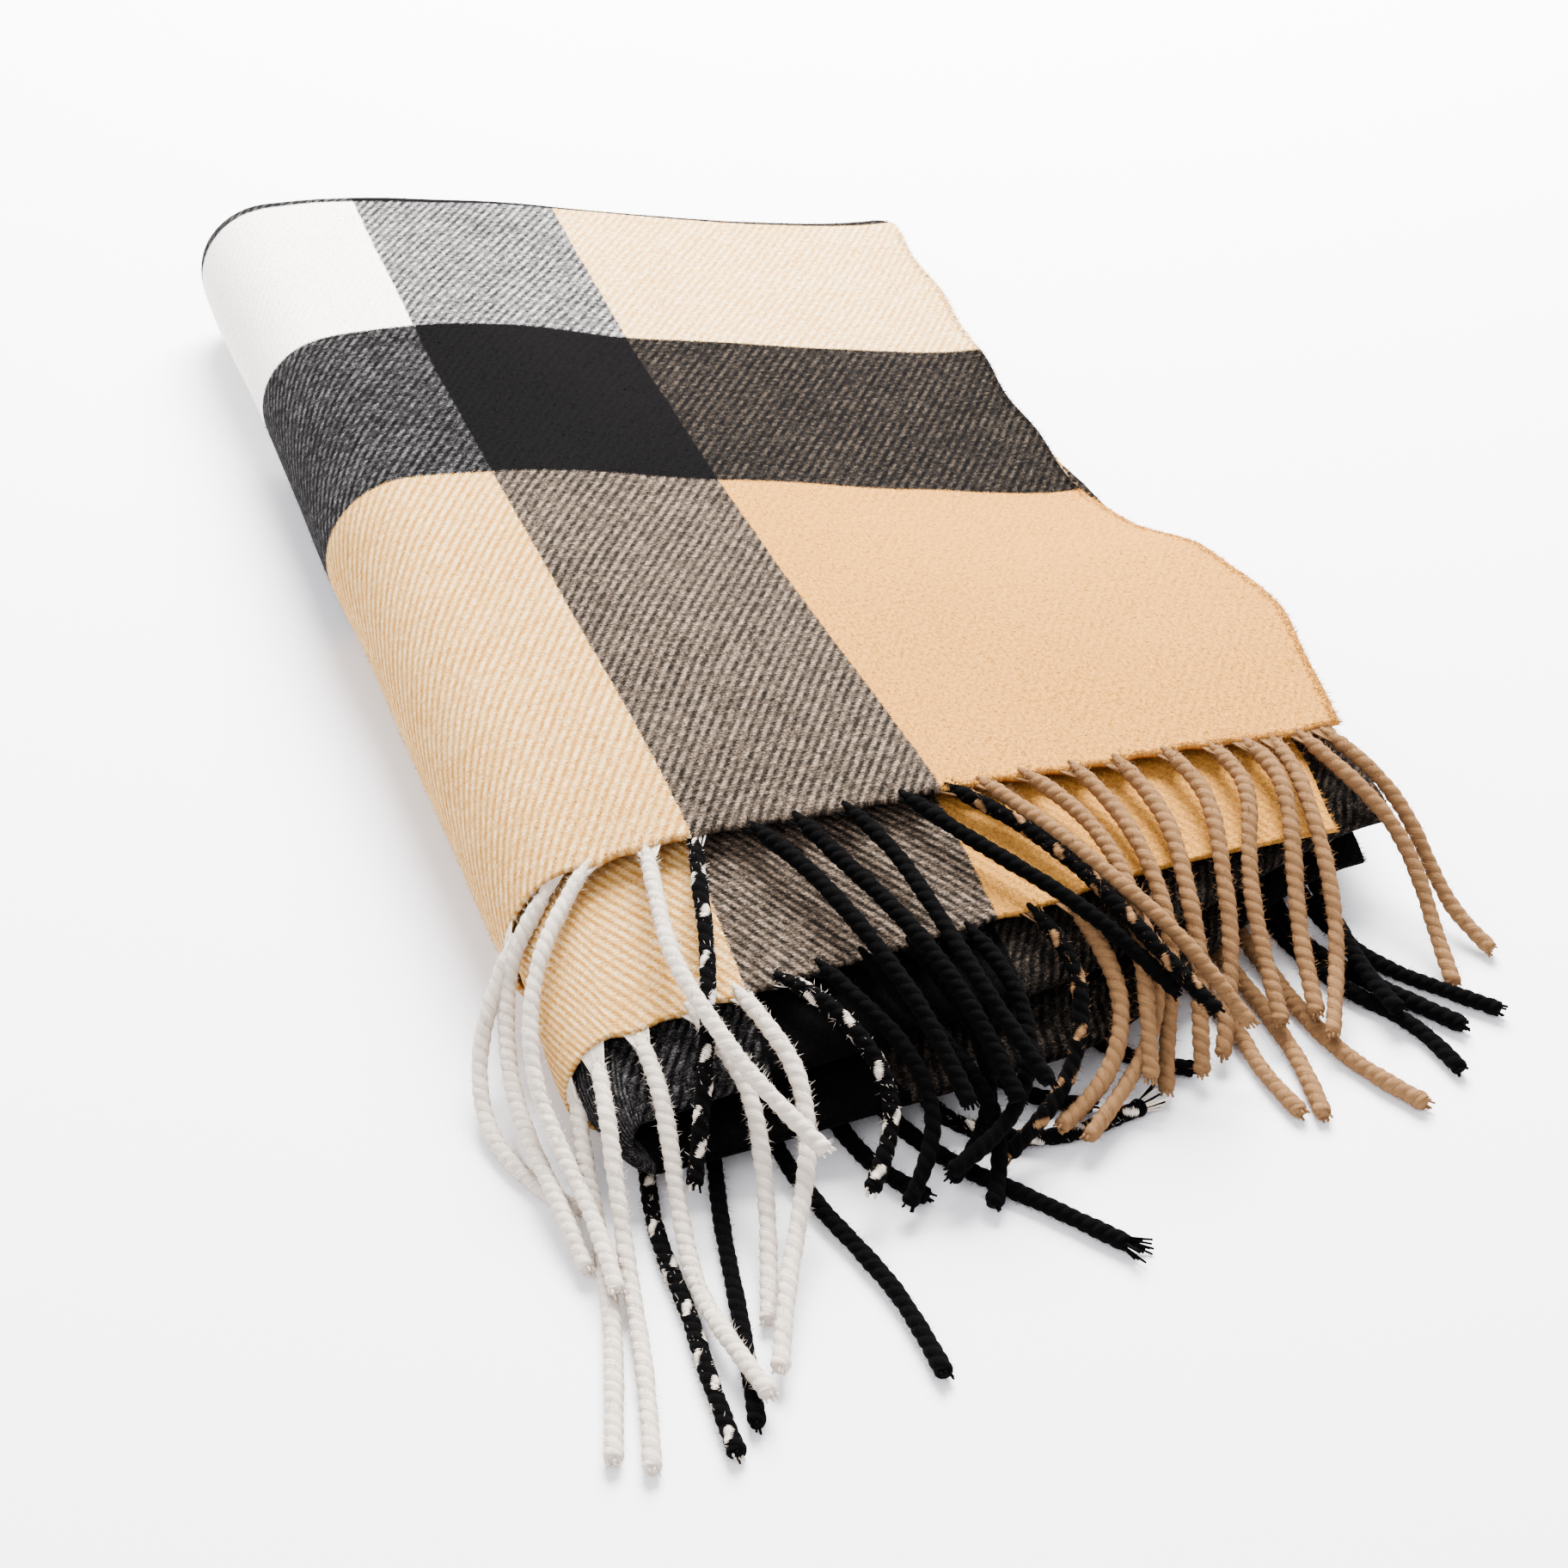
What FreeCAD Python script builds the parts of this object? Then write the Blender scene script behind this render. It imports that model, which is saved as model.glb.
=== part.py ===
import FreeCAD, Part
import math
import os

# Checked woollen throw with a twisted fringe, folded and lying on a flat surface.
#
# The cloth is one sheet.  It is doubled end to end (both fringed ends at -Y), doubled again
# (so four layers lie on each other) and then closed like a book about its left side (-X).
# From the top, the four layers of the upper half are:
#   outer face, from its fringed end to the far fold      (layer 0)
#   inner face, from its fringed end to the inner fold    (layer 1)
#   the two middle layers, joined by the near fold        (layers 2 and 3)
# and the lower half repeats them upside down, down to the surface the throw lies on (z = 0).
# X runs from the book fold to the selvedges, Y from the fringed ends to the far fold, Z up.

os.makedirs("parts", exist_ok=True)
doc = FreeCAD.newDocument("folded_throw")

# ---------------------------------------------------------------- driving dimensions
DIMENSIONS = [
    ("cloth_gauge", 1.7, "thickness of the brushed cloth"),
    ("stack_height", 61.0, "height of the bundle over its book fold"),
    ("selvedge_height", 17.0, "height of the bundle at its open side"),
    ("near_height", 44.0, "height of the raised corner at the near selvedge"),
    ("selvedge_x", 134.0, "open side of the bundle, half way along"),
    ("book_fold_x", -117.0, "centre of the book fold, half way along"),
    ("outer_end_y", -168.0, "fringed end of the outer face, at the book fold"),
    ("inner_end_y", -226.0, "fringed end of the inner face, at the book fold"),
    ("near_fold_y", -250.0, "near fold of the two middle layers, at the book fold"),
    ("far_fold_y", 276.0, "far fold, at the book fold"),
    ("tassel_diameter", 5.0, "one twisted tassel of the fringe"),
]
sheet = doc.addObject("Spreadsheet::Sheet", "Dimensions")
for row, (alias, value, note) in enumerate(DIMENSIONS, start=1):
    sheet.set("A%d" % row, alias)
    sheet.set("B%d" % row, str(value))
    sheet.set("C%d" % row, note)
    sheet.setAlias("B%d" % row, alias)
doc.recompute()

gauge = sheet.cloth_gauge
diameter = sheet.tassel_diameter
LAYERS = 8


# ---------------------------------------------------------------- the shape of the bundle
def smooth(stations, values, at):
    """Monotone cubic through a few hand-chosen values, held level past both ends."""
    steps = [b - a for a, b in zip(stations, stations[1:])]
    slopes = [(b - a) / step for a, b, step in zip(values, values[1:], steps)]
    tangents = [0.0] * len(values)
    for i in range(1, len(values) - 1):
        before, after = slopes[i - 1], slopes[i]
        if before * after > 0.0:
            tangents[i] = 2.0 * before * after / (before + after)
    at = min(max(at, stations[0]), stations[-1])
    i = 0
    while i < len(steps) - 1 and at > stations[i + 1]:
        i += 1
    f = (at - stations[i]) / steps[i]
    return (values[i] * (1.0 + 2.0 * f) * (1.0 - f) ** 2
            + tangents[i] * steps[i] * f * (1.0 - f) ** 2
            + values[i + 1] * f * f * (3.0 - 2.0 * f)
            + tangents[i + 1] * steps[i] * f * f * (f - 1.0))


high = sheet.stack_height
low = sheet.selvedge_height
raised = sheet.near_height
# Height of the bundle along five lines that run its length: over the book fold, over the
# first warp stripe edge (x = -85), over the second (x = 0), at x = 70 and at the selvedge.
LINES_Y = [-290, -232, -168, -125, -85, -50, -10, 30, 145, 262]
HEIGHTS = [
    [high - 35, high - 33, 32, 28, raised - 22],
    [high - 21, high - 17, 45, 40, raised - 14],
    [high - 9, high - 7, 52, 49, raised],
    [high - 6, high - 4, 50, 48, raised],
    [high - 3, high - 2, 48, 45, raised - 3],
    [high - 2, high - 1, 46, 41, raised - 7],
    [high - 1, high - 1, 43, 33, low + 8],
    [high, high - 1, 41, 27, low],
    [high - 2, high - 4, 40, 26, low],
    [high - 3, high - 5, 39, 25, low],
]
fold_x = sheet.book_fold_x
BOOK_FOLD_X = [fold_x + 9, fold_x - 1, fold_x + 5, fold_x + 5, fold_x + 4,
               fold_x + 3, fold_x + 2, fold_x, fold_x - 4, fold_x - 9]
open_x = sheet.selvedge_x
OUTER_SELVEDGE_X = [open_x + 6, open_x + 10, open_x + 11, open_x + 18, open_x + 21,
                    open_x + 16, open_x + 6, open_x, open_x + 1, open_x + 4]
# Selvedges of the layers under the outer one: near, middle and far.
INNER_SELVEDGES_Y = [-200, -50, 150]
INNER_SELVEDGES_X = [
    [open_x - 6, open_x + 4, open_x - 3],
    [open_x + 16, open_x + 12, open_x - 1],
    [open_x + 17, open_x + 13, open_x - 1],
    [open_x + 6, open_x + 4, open_x - 2],
    [open_x + 5, open_x + 3, open_x - 2],
    [open_x + 2, open_x + 2, open_x - 3],
    [open_x, open_x + 1, open_x - 3],
]


def selvedge(y, layer):
    """X of the open edge of a layer; between two layers, the place in between."""
    def edge(index):
        if index == 0:
            return smooth(LINES_Y, OUTER_SELVEDGE_X, y)
        return smooth(INNER_SELVEDGES_Y, INNER_SELVEDGES_X[index - 1], y)
    lower = min(int(layer), LAYERS - 2)
    part = layer - lower
    return edge(lower) * (1.0 - part) + edge(lower + 1) * part


def bundle_height(x, y):
    lines = [smooth(LINES_Y, column, y) for column in zip(*HEIGHTS)]
    centre = smooth(LINES_Y, BOOK_FOLD_X, y)
    edge = smooth(LINES_Y, OUTER_SELVEDGE_X, y)
    return smooth([centre, -85.0, 0.0, 70.0, edge], lines, x)


def cloth_point(across, y, layer):
    """A point of the cloth's middle surface.

    across runs 0..1 over the upper half from the selvedge to the book fold, 1..2 round the
    book fold and 2..3 over the lower half back to the selvedge; layer is 0..3, outer to
    inner, and the lower half takes 7 - layer.
    """
    centre = smooth(LINES_Y, BOOK_FOLD_X, y)
    if 1.0 <= across <= 2.0:
        pitch = (bundle_height(centre, y) - gauge) / (LAYERS - 1)
        radius = pitch * (LAYERS - 1 - 2.0 * layer) / 2.0
        turn = math.pi * (across - 1.0)
        middle = gauge / 2.0 + pitch * (LAYERS - 1) / 2.0
        bulge = radius + layer * (pitch - gauge - 1.6)
        return FreeCAD.Vector(centre - bulge * math.sin(turn), y,
                              middle + radius * math.cos(turn))
    if across < 1.0:
        level = layer
        edge = selvedge(y, level)
        x = edge + (centre - edge) * across
    else:
        level = LAYERS - 1 - layer
        edge = selvedge(y, level)
        x = centre + (edge - centre) * (across - 2.0)
    pitch = (bundle_height(x, y) - gauge) / (LAYERS - 1)
    return FreeCAD.Vector(x, y, gauge / 2.0 + pitch * (LAYERS - 1 - level))


# Where each edge and fold lies, by place across the cloth (0 and 3 are the selvedges).
ACROSS = [0.0, 0.5, 1.0, 2.0, 2.5, 3.0]
outer = sheet.outer_end_y
inner = sheet.inner_end_y
near = sheet.near_fold_y
far = sheet.far_fold_y
OUTER_END = [outer + 3, outer + 2, outer, outer - 10, outer - 6, outer - 2]
INNER_END = [inner + 23, inner + 9, inner, inner - 10, inner + 14, inner + 48]
NEAR_FOLD = [near + 55, near + 12, near, near - 11, near - 5, near + 50]
FAR_FOLD = [far - 22, far - 9, far, far - 1, far - 10, far - 22]


def serpentine(run, along, across):
    """Place (y, layer) on the cloth's way from its outer end to its inner end."""
    outer_y = smooth(ACROSS, OUTER_END, across)
    inner_y = smooth(ACROSS, INNER_END, across)
    near_y = smooth(ACROSS, NEAR_FOLD, across)
    far_y = smooth(ACROSS, FAR_FOLD, across)
    outer_reach = 13.0
    near_reach = 9.0
    inner_reach = 5.0
    inner_far = far_y - outer_reach - 2.0
    turn = math.pi * along
    if run == "outer_face":
        return outer_y + (far_y - outer_reach - outer_y) * along, 0.0
    if run == "far_fold":
        return far_y - outer_reach * (1.0 - math.sin(turn)), 1.5 - 1.5 * math.cos(turn)
    if run == "third_layer":
        return far_y - outer_reach + (near_y + near_reach - far_y + outer_reach) * along, 3.0
    if run == "near_fold":
        return near_y + near_reach * (1.0 - math.sin(turn)), 2.5 + 0.5 * math.cos(turn)
    if run == "second_layer":
        return near_y + near_reach + (inner_far - near_y - near_reach) * along, 2.0
    if run == "inner_fold":
        return inner_far + inner_reach * math.sin(turn), 1.5 + 0.5 * math.cos(turn)
    return inner_far + (inner_y - inner_far) * along, 1.0


def surface_point(run, along, across):
    y, layer = serpentine(run, along, across)
    return cloth_point(across, y, layer)


def surface_normal(run, along, across, span):
    """Unit normal, from differences that stay inside the section."""
    step = 0.004
    a0, a1 = max(along - step, 0.0), min(along + step, 1.0)
    c0, c1 = max(across - step, span[0]), min(across + step, span[1])
    lengthwise = surface_point(run, a1, across) - surface_point(run, a0, across)
    crosswise = surface_point(run, along, c1) - surface_point(run, along, c0)
    normal = lengthwise.cross(crosswise)
    normal.normalize()
    return normal


def section_solid(run, span, crosswise_steps, lengthwise_steps):
    """One section of the cloth as a closed solid of even thickness, from flat facets."""
    outside, inside = [], []
    for j in range(lengthwise_steps + 1):
        along = j / lengthwise_steps
        outside.append([])
        inside.append([])
        for i in range(crosswise_steps + 1):
            across = span[0] + (span[1] - span[0]) * i / crosswise_steps
            point = surface_point(run, along, across)
            offset = surface_normal(run, along, across, span) * (gauge / 2.0)
            outside[-1].append(point + offset)
            inside[-1].append(point - offset)
    loops = []
    for j in range(lengthwise_steps):
        for i in range(crosswise_steps):
            for grid in (outside, inside):
                a, b = grid[j][i], grid[j][i + 1]
                c, d = grid[j + 1][i + 1], grid[j + 1][i]
                loops += [(a, b, c), (a, c, d)]
    rims = [[(outside[j][i], inside[j][i]) for i in range(crosswise_steps + 1)]
            for j in (0, lengthwise_steps)]
    rims += [[(outside[j][i], inside[j][i]) for j in range(lengthwise_steps + 1)]
             for i in (0, crosswise_steps)]
    for rim in rims:
        for (a, d), (b, c) in zip(rim, rim[1:]):
            loops += [(a, b, c), (a, c, d)]
    faces = [Part.Face(Part.makePolygon(loop + loop[:1])) for loop in loops]
    shell = Part.Shell(faces)
    shell.sewShape()
    solid = Part.Solid(shell)
    if solid.Volume < 0.0:
        solid.reverse()
    return solid


UPPER = (0.0, 0.995)
BOOK = (1.0, 2.0)
LOWER = (2.005, 3.0)
SPANS = [("upper", UPPER, 6), ("book", BOOK, 10), ("lower", LOWER, 6)]
RUNS = [
    ("outer_face", "outer_face", 8),
    ("inner_face", "inner_face", 8),
    ("second_layer", "second_layer", 8),
    ("third_layer", "third_layer", 8),
    ("far_fold", "far_fold", 8),
    ("inner_fold", "inner_fold", 6),
    ("near_fold", "near_fold", 6),
]
pieces = []
for label, run, lengthwise in RUNS:
    for side, span, crosswise in SPANS:
        feature = doc.addObject("Part::Feature", "%s_%s" % (label, side))
        feature.Shape = section_solid(run, span, crosswise, lengthwise)
        feature.Label = "%s_%s" % (label, side)
        pieces.append(feature)

# ---------------------------------------------------------------- the fringe
# Each tassel leaves the cloth's end along the cloth, bends over what lies under it and
# comes to rest.  The points are the corners of its route, in order from the root.
TASSELS = {
    "outer_ivory_1": [(-134, -177, 37), (-144, -188, 27), (-153, -201, 13), (-156, -220, 4),
                      (-152, -238, 3), (-145, -252, 3), (-138, -262, 3)],
    "outer_ivory_2": [(-119, -168, 47), (-134, -179, 38), (-142, -192, 22), (-146, -214, 11),
                      (-146, -239, 9), (-144, -262, 9), (-142, -285, 4)],
    "outer_ivory_3": [(-107, -166, 51), (-124, -185, 47), (-137, -205, 36), (-142, -227, 23),
                      (-139, -250, 14), (-136, -275, 10), (-137, -299, 8)],
    "outer_ivory_4": [(-90, -167, 53), (-93, -190, 52), (-96, -215, 50), (-92, -238, 46),
                      (-84, -260, 36), (-70, -281, 25)],
    "outer_pied_1": [(-74, -167, 53), (-79, -187, 52), (-83, -209, 49), (-89, -230, 44),
                     (-95, -247, 36), (-101, -261, 26), (-107, -274, 16)],
    "outer_black_1": [(-57, -166, 53), (-47, -187, 52), (-40, -211, 50), (-33, -234, 44),
                      (-27, -256, 35), (-24, -275, 24)],
    "outer_black_2": [(-42, -166, 53), (-36, -187, 52), (-27, -212, 50), (-19, -237, 45),
                      (-13, -259, 35), (-10, -278, 24)],
    "outer_black_3": [(-26, -166, 53), (-18, -187, 51), (-15, -211, 49), (-12, -235, 45),
                      (-7, -258, 37), (0, -277, 27)],
    "outer_black_4": [(-7, -165, 52), (2, -184, 51), (14, -203, 49), (27, -222, 46),
                      (40, -239, 38), (50, -254, 29)],
    "outer_pied_2": [(8, -165, 51), (19, -180, 50), (29, -196, 48), (37, -215, 46),
                     (43, -234, 42), (50, -250, 36), (58, -265, 28)],
    "outer_camel_1": [(19, -165, 51), (27, -183, 51), (35, -201, 50), (43, -219, 47),
                      (53, -236, 41), (62, -251, 31), (70, -264, 19)],
    "outer_camel_2": [(33, -165, 51), (42, -182, 50), (47, -203, 48), (48, -221, 43),
                      (44, -241, 33), (40, -257, 22), (36, -270, 12)],
    "outer_camel_3": [(50, -165, 50), (56, -184, 48), (58, -206, 45), (58, -225, 37),
                      (55, -241, 25), (48, -254, 12), (42, -269, 4)],
    "outer_camel_4": [(65, -165, 49), (70, -184, 47), (70, -204, 44), (67, -222, 37),
                      (65, -238, 26), (60, -251, 14), (55, -266, 5)],
    "outer_camel_5": [(82, -165, 48), (87, -181, 47), (86, -198, 44), (82, -214, 37),
                      (79, -229, 27), (73, -245, 15), (64, -261, 5)],
    "outer_camel_6": [(98, -165, 46), (102, -180, 46), (100, -194, 44), (94, -207, 38),
                      (89, -222, 29), (87, -239, 18), (85, -257, 9)],
    "outer_camel_7": [(110, -165, 45), (114, -178, 45), (113, -193, 43), (109, -208, 36),
                      (104, -223, 26), (100, -239, 16), (97, -257, 9)],
    "outer_camel_8": [(120, -165, 44), (121, -181, 44), (119, -200, 39), (117, -217, 31),
                      (114, -232, 21), (108, -247, 12), (98, -266, 8)],
    "outer_camel_9": [(129, -165, 44), (134, -179, 42), (142, -193, 36), (148, -206, 28),
                      (150, -220, 18), (149, -235, 8), (147, -252, 3)],
    "outer_camel_10": [(138, -166, 43), (145, -179, 40), (152, -191, 33), (156, -203, 24),
                       (158, -215, 14), (161, -228, 6), (166, -241, 3)],
    "inner_ivory_1": [(-130, -230, 22), (-133, -247, 13), (-135, -270, 4), (-139, -300, 3),
                      (-146, -328, 3), (-153, -352, 3)],
    "inner_ivory_2": [(-123, -228, 30), (-125, -246, 28), (-128, -266, 17), (-131, -287, 6),
                      (-134, -309, 3), (-138, -333, 3), (-144, -358, 3)],
    "inner_ivory_3": [(-110, -226, 34), (-109, -243, 32), (-110, -259, 23), (-113, -280, 9),
                      (-115, -302, 4), (-113, -325, 8), (-108, -347, 8)],
    "inner_ivory_4": [(-94, -223, 38), (-88, -240, 35), (-84, -256, 28), (-86, -273, 17),
                      (-91, -294, 5), (-99, -318, 3)],
    "inner_ivory_5": [(-79, -222, 40), (-74, -238, 38), (-69, -255, 31), (-72, -273, 20),
                      (-82, -293, 11), (-93, -315, 9), (-102, -338, 6)],
    "inner_pied_1": [(-66, -221, 40), (-57, -233, 40), (-49, -247, 35), (-44, -261, 27),
                     (-47, -275, 18), (-58, -287, 11)],
    "inner_pied_2": [(16, -217, 42), (22, -232, 38), (22, -249, 30), (14, -264, 20),
                     (1, -275, 12), (-14, -282, 7)],
    "inner_black_1": [(-5, -219, 42), (1, -238, 38), (2, -256, 31), (-5, -272, 22),
                      (-18, -283, 16), (-34, -288, 12)],
    "inner_camel_1": [(29, -216, 42), (33, -232, 36), (35, -247, 27), (30, -260, 18),
                      (18, -271, 11), (4, -278, 9)],
    "inner_camel_2": [(46, -214, 41), (50, -229, 35), (49, -243, 26), (42, -257, 16),
                      (28, -270, 10), (11, -283, 7)],
    "lower_pied_1": [(-112, -238, 8), (-117, -258, 4), (-120, -282, 3), (-119, -308, 3),
                     (-121, -334, 3), (-121, -360, 3)],
    "lower_black_1": [(-92, -236, 8), (-95, -253, 4), (-100, -275, 3), (-104, -300, 3),
                      (-108, -327, 3), (-113, -352, 3)],
    "lower_black_2": [(-78, -235, 8), (-77, -254, 4), (-73, -278, 3), (-66, -301, 3),
                      (-60, -325, 3), (-59, -351, 3)],
    "lower_black_3": [(-46, -228, 8), (-43, -246, 4), (-37, -263, 3), (-27, -280, 3),
                      (-14, -295, 3), (-3, -309, 3), (7, -322, 3)],
    "lower_pied_2": [(-24, -223, 8), (-29, -241, 4), (-26, -258, 3), (-14, -270, 3),
                     (1, -276, 3), (17, -276, 3), (33, -272, 3)],
    "lower_camel_1": [(64, -203, 8), (68, -218, 4), (72, -235, 3), (74, -253, 3),
                      (73, -271, 3), (77, -289, 3)],
    "lower_camel_2": [(78, -199, 8), (82, -216, 4), (85, -235, 3), (86, -254, 3),
                      (86, -273, 3), (83, -292, 3)],
    "lower_camel_3": [(90, -196, 8), (93, -215, 4), (95, -236, 3), (97, -258, 3),
                      (103, -279, 3), (114, -297, 3)],
}
# Black tassels that lie tangled: four short ends at the open side, then three of the inner
# end and three of the lower rows in the dark under the middle.
BLACK_TANGLE = [
    [(102, -192, 8), (104, -211, 4), (108, -229, 3), (114, -245, 3), (123, -258, 3),
     (129, -272, 3), (131, -287, 3)],
    [(110, -189, 8), (108, -208, 4), (112, -226, 3), (121, -241, 3), (131, -256, 3),
     (141, -270, 3)],
    [(118, -186, 8), (119, -205, 4), (123, -223, 3), (130, -239, 3), (142, -253, 3),
     (155, -267, 3)],
    [(126, -183, 10), (123, -204, 8), (121, -223, 9), (119, -243, 9), (122, -262, 8)],
    [(-53, -221, 42), (-46, -237, 39), (-37, -253, 33), (-33, -268, 24), (-37, -281, 14),
     (-48, -291, 6)],
    [(-39, -220, 42), (-33, -239, 37), (-24, -256, 31), (-16, -271, 20), (-16, -283, 8),
     (-24, -297, 4)],
    [(-24, -220, 42), (-18, -238, 37), (-13, -254, 29), (-14, -268, 17), (-22, -278, 9),
     (-33, -287, 8)],
    [(-60, -232, 8), (-57, -249, 4), (-54, -263, 3), (-49, -276, 3), (-41, -287, 3)],
    [(-10, -220, 8), (-8, -236, 4), (-3, -250, 3), (6, -261, 3), (19, -267, 3)],
    [(22, -214, 8), (26, -231, 4), (33, -246, 3), (43, -256, 3), (54, -262, 3)],
]


def tassel_path(points):
    """Straight runs joined by tangent arcs, each as large as its two runs allow."""
    corners = [FreeCAD.Vector(*point) for point in points]
    edges = []
    radii = []
    start = corners[0]
    for before, corner, after in zip(corners, corners[1:], corners[2:]):
        back = (before - corner).normalize()
        ahead = (after - corner).normalize()
        turn = math.pi - back.getAngle(ahead)
        cut = 0.45 * min((before - corner).Length, (after - corner).Length)
        radii.append(cut / math.tan(turn / 2.0))
        enter, leave = corner + back * cut, corner + ahead * cut
        bisector = (back + ahead).normalize()
        to_centre = math.hypot(cut, radii[-1])
        crown = corner + bisector * (to_centre - radii[-1])
        edges.append(Part.LineSegment(start, enter).toShape())
        edges.append(Part.Arc(enter, crown, leave).toShape())
        start = leave
    edges.append(Part.LineSegment(start, corners[-1]).toShape())
    return Part.Wire(edges), min(radii)


def add_tassel(name, points):
    """A Part::Sweep of the tassel's round section along its route."""
    wire, radius = tassel_path(points)
    spine = doc.addObject("Part::Feature", name + "_route")
    spine.Shape = wire
    profile = doc.addObject("Part::Circle", name + "_section")
    profile.setExpression("Radius", "Dimensions.tassel_diameter / 2")
    heading = FreeCAD.Vector(*points[1]) - FreeCAD.Vector(*points[0])
    turn = FreeCAD.Rotation(FreeCAD.Vector(0, 0, 1), heading)
    profile.Placement = FreeCAD.Placement(FreeCAD.Vector(*points[0]), turn)
    sweep = doc.addObject("Part::Sweep", name)
    sweep.Sections = [profile]
    sweep.Spine = (spine, [])
    sweep.Solid = True
    sweep.Frenet = False
    sweep.Label = name
    routes.append((sweep, wire.Length, radius))
    return sweep


routes = []
for name, points in TASSELS.items():
    pieces.append(add_tassel("tassel_" + name, points))
tangle = [add_tassel("tangle_tassel_%d" % (i + 1), points)
          for i, points in enumerate(BLACK_TANGLE)]
group = doc.addObject("Part::Compound", "tassels_black_tangle")
group.Links = tangle
group.Label = "tassels_black_tangle"
pieces.append(group)

# ---------------------------------------------------------------- checks and export
doc.recompute()
for item in doc.Objects:
    if "Invalid" in item.State or "Error" in item.State:
        raise RuntimeError("%s did not recompute: %s" % (item.Label, item.State))
section = math.pi * diameter ** 2 / 4.0
for sweep, length, radius in routes:
    ratio = sweep.Shape.Volume / (section * length)
    print("%-24s length %.0f  least radius %.0f  volume ratio %.3f" % (
        sweep.Label, length, radius, ratio))
    if abs(ratio - 1.0) > 0.02:
        raise RuntimeError("%s is not a clean tube" % sweep.Label)
for piece in pieces:
    shape = piece.Shape
    if shape.isNull() or not shape.isValid():
        raise RuntimeError("%s has no valid shape" % piece.Label)
    bounds = shape.BoundBox
    print("%-28s volume %.0f  x %.0f..%.0f  y %.0f..%.0f  z %.2f..%.2f" % (
        piece.Label, shape.Volume, bounds.XMin, bounds.XMax,
        bounds.YMin, bounds.YMax, bounds.ZMin, bounds.ZMax))
for piece in pieces:
    piece.Shape.exportStep("parts/%s.step" % piece.Label)
print("%d sub-parts written" % len(pieces))
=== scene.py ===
import math

import bpy
import numpy as np
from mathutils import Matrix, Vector


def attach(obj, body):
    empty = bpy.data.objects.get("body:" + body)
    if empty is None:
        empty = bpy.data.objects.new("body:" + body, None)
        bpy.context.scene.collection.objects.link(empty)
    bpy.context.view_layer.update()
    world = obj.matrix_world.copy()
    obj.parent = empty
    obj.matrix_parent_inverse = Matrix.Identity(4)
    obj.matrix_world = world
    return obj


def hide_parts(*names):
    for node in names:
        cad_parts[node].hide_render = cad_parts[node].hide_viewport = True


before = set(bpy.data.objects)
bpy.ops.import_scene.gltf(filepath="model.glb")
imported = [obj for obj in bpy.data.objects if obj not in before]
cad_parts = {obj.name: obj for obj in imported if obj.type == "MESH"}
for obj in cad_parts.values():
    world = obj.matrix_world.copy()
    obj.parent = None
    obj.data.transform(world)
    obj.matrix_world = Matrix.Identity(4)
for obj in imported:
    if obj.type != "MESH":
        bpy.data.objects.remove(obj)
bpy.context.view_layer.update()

# A checked woollen throw with a twisted fringe, folded and lying on a pale floor.
# The routes, the yarns in the materials, the camera, the floor and the lights are in metres.
# The rest, with the check's stripes, is in millimetres as in the CAD; MM turns it into metres.
MM = 0.001
RANDOM = np.random.default_rng(7)


def in_scene(name, data):
    """A new object in the scene."""
    thing = bpy.data.objects.new(name, data)
    bpy.context.scene.collection.objects.link(thing)
    return thing


# -------------------- camera
LOOKS_DOWN = 38.5
LOOKS_ASIDE = -18.0

camera_data = bpy.data.cameras.new("photo_camera")
camera_data.lens = 71.05
camera_data.sensor_width = 36.0
camera = in_scene("photo_camera", camera_data)
camera.location = (-0.2738, -0.8699, 0.6536)
camera.rotation_euler = (math.radians(90.0 - LOOKS_DOWN), 0.0, math.radians(LOOKS_ASIDE))
bpy.context.scene.camera = camera

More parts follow.
